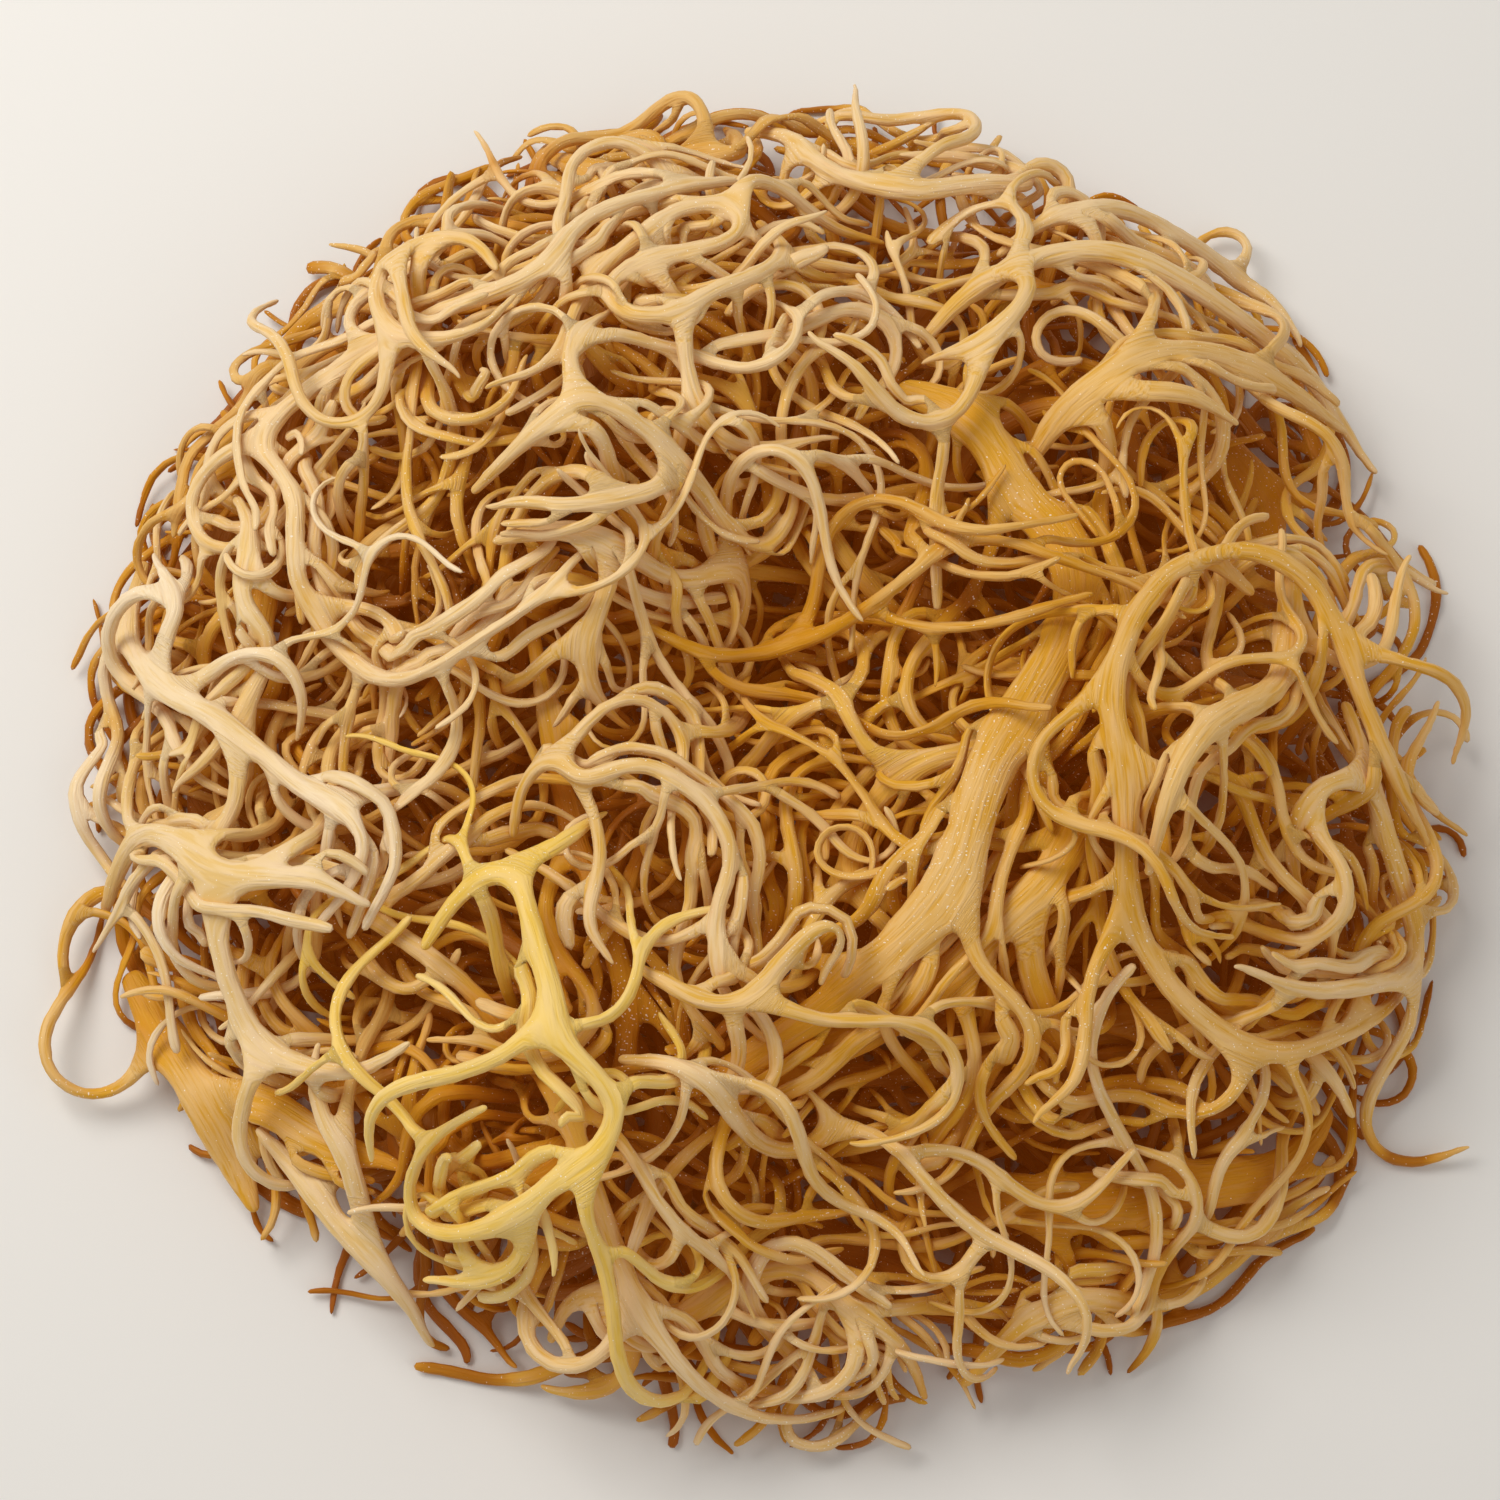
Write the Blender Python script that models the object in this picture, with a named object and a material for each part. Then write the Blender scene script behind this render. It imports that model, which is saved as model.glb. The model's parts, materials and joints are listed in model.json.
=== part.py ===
"""Irish moss seaweed: a loose, dried clump of golden sea moss.

The clump is a heap of separate dried sprigs, hooked into each other. Each sprig grew as one
piece and is one object: a flattened main axis that forks into curling branches with thin tips.

The script first lays every sprig in the heap: the main axes follow hand-drawn routes or seeded
wandering ones, and branches curl away from them by a seeded rule. Then the strands are pressed
apart until none crosses another. Last, every sprig is skinned as one closed four-sided mesh,
each branch drawn out of a side face of the strand that it grows from.

Lengths below are in millimetres. The objects are built in metres, +Z up, and the clump rests
on z = 0 with its bounding box centred on the origin.
"""

import math
import random

import bpy
import numpy as np
from mathutils import Vector
from mathutils.bvhtree import BVHTree

MM = 0.001

# ---------------------------------------------------------------- driving dimensions
HEAP_RADIUS = 88.0
CROWN_HEIGHT = 38.0
RIM_HEIGHT = 5.0

# Where the heap swells above its dome or sinks below it: x, y, radius, height.
SWELLS = (
    (-36.0, 36.0, 28.0, 13.0),
    (58.0, -12.0, 22.0, 13.0),
    (50.0, 48.0, 22.0, 10.0),
    (-28.0, -56.0, 20.0, 13.0),
    (-70.0, -22.0, 18.0, 10.0),
    (28.0, -12.0, 20.0, 6.0),
    (0.0, 8.0, 15.0, -18.0),
    (6.0, -62.0, 14.0, -14.0),
    (-61.0, -1.0, 11.0, -16.0),
)

# Ring spacing along each kind of strand. A drawn strand under FINE_WIDTH gets the curl's.
AXIS_STEP = 5.4
BED_STEP = 8.2
CURL_STEP = 4.3
BRANCH_STEP = 4.7
FINE_WIDTH = 2.5

# How far apart branches leave a strand of the drawn sprigs, the bed and the filling.
TOP_EVERY = 21.0
BED_EVERY = 32.0
FILL_EVERY = 22.0

# Branches: length, half width, curl radius, rise and fall, tip, how far their layer may lie
# below or above the parent's, and the angle to it.
BRANCH_REACH = (22.0, 50.0)
BRANCH_HALF = (0.78, 1.02)
BRANCH_BEND = (4.6, 11.0)
BRANCH_WAVE = 4.0
BRANCH_TIP = 0.45
BRANCH_LAYER = (-0.4, 0.15)
LEAN = (0.75, 1.25)
FORK_CLEAR = 1.9
SHARPEST_TURN = 0.72
STEEPEST_CLIMB = 0.85

# Sprigs laid by rule: count, length, width, layer of the heap, curl radius, rise and fall.
BED_COUNT = 12
BED_LENGTH = 150.0
BED_WIDTH = (4.5, 7.5)
BED_LAYER = (0.0, 0.4)
BED_BEND = (30.0, 90.0)
BED_WAVE = 0.6
FILL_COUNT = 8
FILL_LENGTH = 110.0
FILL_WIDTH = (2.4, 3.6)
FILL_LAYER = (0.35, 0.85)
FILL_BEND = (14.0, 40.0)
FILL_WAVE = 3.0
THICKEST = 2.8

LOWEST = 1.2
GOLDEN_ANGLE = math.radians(137.5)
SEED = 2118
TRIES = 10
COVER_CELL = 4.0

# Pressing apart: the air kept between strands, and how long and how softly they are moved.
GAP = 0.34
PRESS_ROUNDS = 260
PRESS_SPREAD = 0.25
SETTLE_ROUNDS = 60
SETTLE_SPREAD = 0.06
LOOK_AGAIN = 20
LOOK_MARGIN = 3.0
DRAWN_EASE = 0.25

# How far the heap's weight flattens the strands that lie on the ground.
SINK = 0.3


def heap_height(x, y):
    """The height of the heap's top over a point of the ground."""
    reach = min(1.0, math.hypot(x, y) / HEAP_RADIUS)
    rise = CROWN_HEIGHT - RIM_HEIGHT
    for swell_x, swell_y, radius, height in SWELLS:
        away = ((x - swell_x) ** 2 + (y - swell_y) ** 2) / radius ** 2
        rise += height * math.exp(-away)
    return RIM_HEIGHT + rise * math.sqrt(1.0 - reach * reach)


# ---------------------------------------------------------------- strands
class Strand:
    """One axis or branch: its ring centres, half sizes, and the strand that it grows from."""

    def __init__(self, sprig, centres, wide, thick, parent=None, joint=0, order=0):
        self.sprig = sprig
        self.centres = centres
        self.wide = wide
        self.thick = thick
        self.parent = parent
        self.joint = joint
        self.order = order
        self.first = 0
        self.dropped = False
        self.forks = set()
        if parent:
            parent.forks.add(joint)


class Sprig:
    """One plant: its name, the route and size of its main axis, and how it branches."""

    def __init__(self, name, width, thickness, route, limbs=(), colour="amber", every=TOP_EVERY,
                 step=AXIS_STEP):
        self.name = name
        self.width = width
        self.thickness = thickness
        self.route = route
        self.limbs = limbs
        self.colour = colour
        self.every = every
        self.step = step


class Habit:
    """How a kind of branch grows: length, half width, curl, rise and fall, tip and rings."""

    def __init__(self, order, reach, half, bend, wave, tip, step):
        self.order = order
        self.reach = reach
        self.half = half
        self.bend = bend
        self.wave = wave
        self.tip = tip
        self.step = step


BRANCH_HABIT = Habit(1, BRANCH_REACH, BRANCH_HALF, BRANCH_BEND, BRANCH_WAVE, BRANCH_TIP,
                     BRANCH_STEP)


# Routes of the sprigs that lie on top: x, y and the share of the heap's height below them.
TOP_SPRIGS = (
    Sprig("curl_head_sprig", 2.3, 2.0,
          ((-6, 70, 1), (-12, 68, 1.08), (-18, 65, 1.1), (-25, 60, 1.1), (-30, 54, 1.1),
           (-37, 50, 1.05), (-44, 48, 1), (-50, 46, 0.97), (-58, 44, 1), (-64, 38, 1),
           (-66, 34, 0.95), (-62, 28, 0.9), (-61, 20, 0.9), (-59, 13, 0.9), (-54, 6, 0.9),
           (-47, 1, 0.95), (-41, 1, 1), (-36, 5, 1), (-28, 11, 1), (-21, 17, 0.95)),
          limbs=(((-61, 20, 0.9), (-59, 29, 1), (-52, 31, 1.06), (-45, 28, 1.08), (-44, 23, 1.05),
            (-49, 18, 1), (-55, 19, 0.95)),),
          colour="cream"),
    Sprig("curl_head_loop", 2.2, 1.9,
          ((-2, 64, 0.9), (0, 59, 1), (-2, 53, 1.08), (-7, 49, 1.12), (-13, 45, 1.1),
           (-19, 44, 1.05), (-22, 48, 1), (-19, 53, 1), (-12, 56, 1.05), (-5, 59, 1.12),
           (-6, 64, 1.15), (-13, 63, 1.12), (-19, 59, 1.05), (-25, 52, 1), (-27, 43, 1),
           (-32, 38, 1), (-38, 37, 1)),
          limbs=(((-13, 45, 1.1), (-11, 37, 1.02), (-7, 30, 1), (-1, 28, 1), (7, 31, 0.95)),),
          colour="cream"),
    Sprig("side_loop_sprig", 2.1, 1.8,
          ((-34, 54, 1.08), (-36, 57, 1.12), (-41, 60, 1.14), (-47, 57, 1.14), (-49, 52, 1.1),
           (-47, 45, 1.05), (-40, 43, 1), (-33, 45, 1), (-32, 50, 1.02)),
          limbs=(((-47, 57, 1.14), (-45, 48, 1.16), (-42, 41, 1.12), (-35, 36, 1)),),
          colour="cream"),
    Sprig("inner_curl_sprig", 2.3, 2.0,
          ((-37, 25, 0.85), (-30, 30, 1), (-23, 33, 1.05), (-16, 30, 1.05), (-11, 26, 1),
           (-7, 21, 0.95), (0, 19, 0.95), (2, 25, 0.9), (0, 34, 0.85)),
          limbs=(((-23, 33, 1.05), (-26, 38, 1.04), (-23, 45, 1), (-18, 48, 0.9)),
           ((-11, 26, 1), (-18, 21, 1.05), (-25, 20, 1.05), (-34, 21, 1), (-37, 17, 0.9)),),
          colour="cream"),
    Sprig("lower_curl_sprig", 2.7, 2.1,
          ((-34, 18, 0.85), (-26, 18, 0.95), (-18, 16, 1), (-11, 13, 1.02), (-6, 17, 1.05),
           (-3, 15, 1), (-7, 7, 0.9)),
          limbs=(((-18, 16, 1), (-22, 8, 0.95), (-23, 1, 0.85), (-18, -5, 0.7)),),
          colour="cream"),
    Sprig("crown_sprig", 2.6, 2.0,
          ((-3, 82, 0.8), (3, 80, 0.9), (6, 74, 1), (13, 71, 1.05), (20, 69, 1.05), (27, 72, 1),
           (34, 72, 1), (35, 76, 1), (30, 78, 1), (23, 78, 1), (16, 77, 0.95)),
          limbs=(((6, 74, 1), (7, 80, 1.06), (13, 79, 1.1), (21, 79, 1.08), (27, 84, 0.9)),),
          colour="cream"),
    Sprig("upper_arc_sprig", 2.4, 2.0,
          ((30, 61, 0.85), (35, 66, 0.95), (42, 68, 1), (50, 68, 1), (59, 65, 0.95),
           (67, 60, 0.9), (71, 54, 0.8)),
          limbs=(((42, 68, 1), (48, 62, 1.06), (56, 64, 1.1), (65, 63, 1.05)),),
          colour="cream"),
    Sprig("long_arc_sprig", 2.8, 2.1,
          ((20, 48, 0.8), (24, 53, 0.9), (30, 57, 1), (38, 59, 1), (48, 58, 1), (58, 55, 1),
           (68, 50, 0.95), (77, 43, 0.85), (81, 35, 0.8)),
          limbs=(((30, 57, 1), (32, 51, 1.08), (28, 45, 1.08), (22, 43, 1), (18, 45, 0.9)),),
          colour="cream"),
    Sprig("second_arc_sprig", 3.4, 2.2,
          ((32, 30, 0.8), (36, 37, 0.95), (43, 41, 1), (52, 44, 1), (61, 45, 1), (71, 43, 0.95),
           (77, 40, 0.85)),
          limbs=(((43, 41, 1), (46, 37, 1.08), (53, 38, 1.1), (60, 34, 1)),),
          colour="gold"),
    Sprig("right_arch_sprig", 3.0, 2.2,
          ((59, 13, 0.95), (52, 16, 1.05), (46, 9, 1.1), (42, 1, 1.1), (40, -7, 1.05),
           (42, -16, 1), (43, -24, 1), (45, -34, 1), (50, -40, 1.05), (59, -44, 1.05),
           (68, -43, 1), (78, -37, 0.95), (84, -29, 0.85)),
          limbs=(((52, 16, 1.05), (59, 17, 1.12), (67, 13, 1.14), (71, 6, 1.12), (74, -4, 1.05),
            (78, -12, 0.98), (86, -18, 0.85)),),
          colour="gold"),
    Sprig("right_limb_sprig", 3.4, 2.3,
          ((67, 18, 0.8), (65, 10, 0.95), (63, 1, 1), (56, -6, 1.05), (50, -11, 1.12),
           (46, -19, 1.15), (45, -26, 1.05)),
          limbs=(((63, 1, 1), (57, 2, 0.9), (56, 8, 0.85)),),
          colour="gold"),
    Sprig("right_rim_sprig", 2.6, 2.0,
          ((73, 0, 0.85), (76, -10, 0.95), (80, -18, 0.95), (83, -28, 0.95), (78, -34, 1),
           (66, -37, 1.1), (55, -35, 1.1)),
          limbs=(((76, -10, 0.95), (68, -11, 0.95), (65, -17, 0.9), (67, -24, 0.8)),),
          colour="cream"),
    Sprig("golden_trunk_sprig", 6.0, 2.8,
          ((17, 40, 0.8), (23, 37, 0.85), (29, 32, 0.85), (33, 25, 0.85), (37, 19, 0.85),
           (38, 12, 0.85), (35, 3, 0.85), (30, -5, 0.88), (25, -14, 0.92), (22, -25, 0.95),
           (16, -32, 0.95), (9, -38, 0.95), (-1, -44, 0.9), (-11, -50, 0.85)),
          limbs=(((29, 32, 0.85), (28, 23, 1), (34, 16, 1.02), (31, 6, 1.02), (24, -2, 1),
            (20, -10, 1)),),
          colour="gold"),
    Sprig("twin_trunk_sprig", 4.2, 2.4,
          ((40, -12, 0.75), (36, -20, 0.85), (30, -28, 0.88), (22, -36, 0.9), (12, -42, 0.88),
           (3, -47, 0.85), (-4, -53, 0.8)),
          limbs=(((30, -28, 0.88), (31, -37, 0.85), (37, -44, 0.8), (40, -52, 0.75)),),
          colour="gold"),
    Sprig("bridge_sprig", 1.9, 1.7,
          ((-16, 8, 0.95), (-10, 5, 1.05), (-3, 6, 1.15), (6, 8, 1.2), (16, 13, 1.15),
           (22, 18, 1), (25, 25, 0.9)),
          colour="amber"),
    Sprig("yellow_sprig", 2.6, 2.1,
          ((-42, -32, 0.95), (-38, -25, 1), (-32, -24, 1.05), (-29, -31, 1.08), (-26, -40, 1.08),
           (-25, -47, 1.08), (-19, -51, 1.08), (-18, -57, 1.08), (-23, -61, 1.08),
           (-30, -65, 1.08), (-39, -67, 1.05), (-44, -64, 1), (-41, -57, 1), (-34, -53, 1.02)),
          limbs=(((-32, -24, 1.05), (-25, -20, 1), (-20, -16, 0.9)),
           ((-30, -65, 1.08), (-29, -70, 1.05), (-37, -72, 1), (-44, -71, 0.9)),),
          colour="yellow"),
    Sprig("left_pale_sprig", 2.6, 2.0,
          ((-85, 23, 0.8), (-86, 14, 0.9), (-82, 7, 0.98), (-77, 1, 1), (-71, -2, 1),
           (-64, -7, 1), (-58, -12, 1), (-51, -18, 0.98), (-51, -24, 0.95), (-56, -29, 0.9)),
          limbs=(((-82, 7, 0.98), (-77, 13, 1), (-79, 19, 1), (-83, 23, 0.95)),),
          colour="pale"),
    Sprig("left_white_sprig", 3.0, 2.1,
          ((-87, -23, 0.7), (-83, -17, 0.9), (-77, -16, 0.98), (-71, -21, 1), (-64, -25, 1),
           (-58, -25, 1.02), (-51, -27, 1), (-50, -32, 0.95)),
          limbs=(((-71, -21, 1), (-70, -29, 1), (-67, -36, 1), (-63, -43, 1), (-57, -47, 1),
            (-49, -48, 1), (-42, -43, 0.95)),),
          colour="pale"),
    Sprig("left_bundle_sprig", 2.3, 1.9,
          ((-70, 28, 0.8), (-67, 22, 0.95), (-68, 14, 1), (-64, 8, 1), (-67, 2, 1),
           (-72, -6, 0.85), (-79, -10, 0.8)),
          colour="pale"),
    Sprig("corner_sprig", 5.6, 2.6,
          ((-83, -32, 0.7), (-78, -40, 0.85), (-73, -48, 0.85), (-69, -55, 0.8), (-65, -65, 0.7)),
          limbs=(((-73, -48, 0.85), (-64, -50, 0.85), (-55, -55, 0.85), (-46, -58, 0.8)),),
          colour="gold"),
    Sprig("south_west_sprig", 2.8, 2.0,
          ((-65, -53, 0.85), (-59, -59, 0.95), (-53, -65, 0.98), (-47, -72, 0.95),
           (-44, -80, 0.85)),
          limbs=(((-53, -65, 0.98), (-53, -58, 1), (-56, -52, 1), (-58, -43, 0.95)),),
          colour="pale"),
    Sprig("ring_sprig", 2.2, 1.9,
          ((-32, -18, 0.85), (-31, -12, 0.95), (-27, -9, 1), (-23, -14, 1.05), (-16, -12, 1.08),
           (-8, -16, 1.08), (-5, -23, 1.05), (-7, -31, 1), (-7, -38, 0.95), (-2, -43, 0.9)),
          limbs=(((-23, -14, 1.05), (-21, -22, 1.02), (-23, -30, 0.98), (-19, -37, 0.9)),),
          colour="cream"),
    Sprig("hook_sprig", 2.3, 1.9,
          ((-16, -37, 0.95), (-11, -40, 1.05), (-6, -41, 1.1), (-1, -38, 1.15), (4, -33, 1.18),
           (8, -32, 1.18), (8, -36, 1.12), (3, -37, 1.05)),
          colour="cream"),
    Sprig("low_hook_sprig", 2.2, 1.9,
          ((-18, -47, 0.9), (-12, -48, 1.05), (-7, -52, 1.1), (-1, -57, 1.05), (4, -56, 1.05),
           (6, -51, 1), (2, -49, 0.95)),
          colour="cream"),
    Sprig("deep_trunk_sprig", 7.0, 2.8,
          ((10, -56, 0.5), (21, -59, 0.55), (32, -62, 0.6), (43, -63, 0.62), (55, -59, 0.65),
           (66, -57, 0.62), (73, -48, 0.6)),
          colour="amber"),
    Sprig("south_sprig", 2.6, 2.0,
          ((-28, -80, 0.8), (-25, -75, 0.95), (-17, -76, 1), (-13, -79, 0.95), (-6, -74, 0.9),
           (2, -71, 0.85), (10, -76, 0.9), (16, -79, 0.9), (19, -88, 0.7)),
          limbs=(((-17, -76, 1), (-18, -83, 0.95), (-23, -86, 0.9), (-29, -86, 0.8)),),
          colour="cream"),
    Sprig("south_east_sprig", 2.8, 2.0,
          ((25, -83, 0.7), (31, -76, 0.85), (40, -73, 0.9), (48, -74, 0.85), (56, -70, 0.85),
           (65, -62, 0.8), (74, -58, 0.6)),
          colour="cream"),
    Sprig("north_west_sprig", 2.8, 2.0,
          ((-72, 46, 0.6), (-64, 59, 0.8), (-54, 59, 0.9), (-48, 65, 0.9), (-49, 73, 0.85),
           (-40, 77, 0.8)),
          limbs=(((-54, 59, 0.9), (-50, 52, 0.9), (-58, 47, 0.85)),),
          colour="amber"),
    Sprig("north_sprig", 2.8, 2.0,
          ((-31, 83, 0.6), (-25, 77, 0.8), (-17, 76, 0.85), (-10, 79, 0.85), (-4, 76, 0.85),
           (-6, 88, 0.6)),
          colour="amber"),
)


class Heap:
    """The strands laid so far, with what is needed to see where the heap is crowded."""

    def __init__(self):
        self.strands = []
        self.spots = np.zeros((0, 4))
        self.cover = {}

    def add(self, strand):
        self.strands.append(strand)
        rows = [(x, y, z, half) for (x, y, z), half in zip(strand.centres, strand.wide)]
        self.spots = np.concatenate([self.spots, np.array(rows)])
        for x, y, _, _ in rows:
            cell = (int(x // COVER_CELL), int(y // COVER_CELL))
            self.cover[cell] = self.cover.get(cell, 0) + 1

    def crowding(self, centres, half):
        """How badly a new strand would press on the laid ones and leave the heap."""
        cost = 0.0
        for x, y, z in centres:
            apart = np.sqrt((self.spots[:, 0] - x) ** 2 + (self.spots[:, 1] - y) ** 2
                            + (self.spots[:, 2] - z) ** 2)
            press = np.maximum(self.spots[:, 3] + half + 1.2 - apart, 0.0)
            cost += round(float(np.max(press, initial=0.0)), 6) ** 2
            cell = (int(x // COVER_CELL), int(y // COVER_CELL))
            cost += 0.7 * self.cover.get(cell, 0)
            cost += 0.4 * max(0.0, math.hypot(x, y) - HEAP_RADIUS) ** 2
        return cost / len(centres)


def smooth_route(route, step):
    """Points a step apart on a Catmull-Rom curve through the route's points."""
    ends = [route[0]] + list(route) + [route[-1]]
    fine = []
    for a, b, c, d in zip(ends, ends[1:], ends[2:], ends[3:]):
        for count in range(12):
            t = count / 12
            fine.append([0.5 * (2 * q + (r - p) * t + (2 * p - 5 * q + 4 * r - s) * t * t
                                + (3 * q - p - 3 * r + s) * t ** 3)
                         for p, q, r, s in zip(a, b, c, d)])
    fine.append(list(route[-1]))
    picked, run = [fine[0]], 0.0
    for before, after in zip(fine, fine[1:]):
        run += math.hypot(after[0] - before[0], after[1] - before[1])
        if run >= step:
            picked.append(after)
            run -= step
    return picked


def taper(count, half, stump, tip, share):
    """Half sizes along a strand: full in the middle, finer over a share at its tip."""
    sizes = []
    for ring in range(count):
        along = ring / max(1, count - 1)
        size = stump + (1.0 - stump) * min(1.0, along / 0.15)
        if along > 1.0 - share:
            size *= 1.0 + (tip - 1.0) * ((along - 1.0 + share) / share) ** 1.4
        sizes.append(half * size)
    return sizes


def lay_route(heap, rng, sprig, route, size=1.0, parent=None):
    """Lay a strand along a drawn route, with a slight waver, from its parent if it has one."""
    step = CURL_STEP if size * sprig.width < FINE_WIDTH else sprig.step
    phase = rng.uniform(0.0, 2 * math.pi)
    centres = []
    for ring, (x, y, layer) in enumerate(smooth_route(route, step)):
        waver = 0.7 * math.sin(phase + 1.1 * ring)
        z = layer * heap_height(x, y) + 0.8 * math.sin(2.0 * phase + 0.8 * ring)
        centres.append((x + waver * math.cos(phase), y + waver * math.sin(phase),
                        max(z, 0.5 * sprig.thickness)))
    wide, thick = 0.5 * size * sprig.width, 0.5 * size * sprig.thickness
    joint = 0
    if parent:
        joint, clear = nearest_joint(parent, centres[0])
        root = parent.wide[joint] + wide + FORK_CLEAR
        centres = [(x, y, z + (clear[2] - centres[0][2]) * max(0.0, 1.0 - ring / 3))
                   for ring, (x, y, z) in enumerate(centres)]
        while len(centres) > 3 and math.dist(centres[0], clear) < root:
            centres.pop(0)
    count = len(centres)
    stump = 1.0 if parent else 0.6
    strand = Strand(sprig, centres, taper(count, wide, stump, 0.4, 0.35),
                    taper(count, thick, stump, 0.5, 0.25), parent, joint)
    heap.add(strand)
    return strand


def nearest_joint(parent, spot):
    """The segment of a strand that lies nearest to a point, and the segment's middle."""
    best = None
    for joint in range(1, len(parent.centres) - 2):
        middle = [0.5 * (p + q) for p, q in zip(*parent.centres[joint:joint + 2])]
        away = math.dist(middle, spot)
        if best is None or away < best[0]:
            best = (away, joint, middle)
    return best[1], best[2]


def wander(rng, start, heading, length, step, bend, layer, wave):
    """Centres of a strand that curls over the ground while it seeks its layer of the heap."""
    turn = 1.0 / rng.uniform(*bend)
    drift = rng.choice((-1.0, 1.0)) * rng.uniform(0.1, 0.8)
    swing = rng.uniform(0.0, 2 * math.pi)
    swing_rate = 2 * math.pi / (bend[0] * rng.uniform(5.0, 12.0))
    ripple = rng.uniform(0.0, 2 * math.pi)
    x, y, z = start
    centres = []
    count = max(3, round(length / step))
    for ring in range(count):
        veer = turn * step * (drift + math.sin(swing + swing_rate * step * ring))
        heading += max(-SHARPEST_TURN, min(SHARPEST_TURN, veer))
        goal = layer * heap_height(x, y) + wave * math.sin(ripple + 0.19 * step * ring)
        climb = math.atan2(goal - z, 9.0)
        climb = max(-STEEPEST_CLIMB, min(STEEPEST_CLIMB, climb))
        x += step * math.cos(climb) * math.cos(heading)
        y += step * math.cos(climb) * math.sin(heading)
        z = max(z + step * math.sin(climb), LOWEST)
        centres.append((x, y, z))
    return centres


def ruled_sprigs(heap, rng, kind, count, length, widths, layers, bend, wave, every, step):
    """Lay main axes round the heap, each of them the least crowding one of a few tries."""
    for number in range(count):
        width = rng.uniform(*widths)
        best = None
        for _ in range(3 * TRIES):
            spin = GOLDEN_ANGLE * (number + rng.uniform(-0.2, 0.2))
            out = HEAP_RADIUS * math.sqrt((number + rng.uniform(0.3, 1.0)) / count)
            heading = spin + math.pi / 2 + rng.uniform(-0.5, 1.1)
            layer = rng.uniform(*layers)
            x, y = out * math.cos(spin), out * math.sin(spin)
            start = (x, y, max(1.5, layer * heap_height(x, y)))
            path = wander(rng, start, heading, length * rng.uniform(0.8, 1.15), step, bend, layer,
                          wave)
            cost = heap.crowding(path, 0.5 * width)
            if best is None or cost < best[0]:
                best = (cost, path)
        path = best[1]
        thickness = min(THICKEST, 0.45 * width + 0.7)
        colour = "amber" if kind == "bed" else rng.choice(("amber", "gold", "cream"))
        sprig = Sprig(f"{kind}_sprig_{number + 1:02d}", width, thickness, (), colour=colour,
                      every=every, step=step)
        heap.add(Strand(sprig, path, taper(len(path), 0.5 * width, 0.6, 0.4, 0.35),
                        taper(len(path), 0.5 * thickness, 0.7, 0.5, 0.25)))


def grow_branches(heap, rng, parent, every, habit):
    """Let branches curl away from both sides of a strand, at its joints that are still free."""
    side = rng.choice((-1.0, 1.0))
    step = math.dist(parent.centres[1], parent.centres[2])
    place = every * rng.uniform(0.25, 0.75)
    while place < step * (len(parent.centres) - 2.2):
        joint = max(1, int(place / step))
        place += max(every * rng.uniform(0.7, 1.3), 1.05 * step)
        side = -side if rng.random() < 0.75 else side
        if joint in parent.forks:
            continue
        here, there = parent.centres[joint], parent.centres[joint + 1]
        middle = [0.5 * (p + q) for p, q in zip(here, there)]
        heading = math.atan2(there[1] - here[1], there[0] - here[0])
        half = min(rng.uniform(*habit.half), 0.9 * parent.wide[joint])
        length = rng.uniform(*habit.reach)
        best = None
        for _ in range(TRIES):
            lean = rng.uniform(*LEAN)
            away = heading + side * lean
            layer = min(1.12, max(0.1, middle[2] / heap_height(*middle[:2])
                                  + rng.uniform(*BRANCH_LAYER)))
            out = (parent.wide[joint] + half + FORK_CLEAR) / math.sin(lean)
            start = (middle[0] + out * math.cos(away), middle[1] + out * math.sin(away),
                     max(LOWEST, middle[2] + rng.uniform(-1.0, 1.5)))
            path = [start] + wander(rng, start, away, length, habit.step, habit.bend, layer,
                                    habit.wave)
            cost = heap.crowding(path, half)
            if best is None or cost < best[0]:
                best = (cost, path)
        path = best[1]
        heap.add(Strand(parent.sprig, path, taper(len(path), half, 1.0, habit.tip, 0.4),
                        taper(len(path), 0.92 * half, 1.0, habit.tip, 0.3), parent, joint,
                        habit.order))


def lay_heap():
    """Lay every strand of the clump where the rules put it, before they are pressed apart."""
    rng = random.Random(SEED)
    heap = Heap()
    for sprig in TOP_SPRIGS:
        axis = lay_route(heap, rng, sprig, sprig.route)
        for route in sprig.limbs:
            lay_route(heap, rng, sprig, route, 0.85, axis)
    ruled_sprigs(heap, rng, "bed", BED_COUNT, BED_LENGTH, BED_WIDTH, BED_LAYER, BED_BEND,
                 BED_WAVE, BED_EVERY, BED_STEP)
    ruled_sprigs(heap, rng, "fill", FILL_COUNT, FILL_LENGTH, FILL_WIDTH, FILL_LAYER, FILL_BEND,
                 FILL_WAVE, FILL_EVERY, AXIS_STEP)
    for strand in list(heap.strands):
        grow_branches(heap, rng, strand, strand.sprig.every, BRANCH_HABIT)
    return heap.strands


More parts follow.
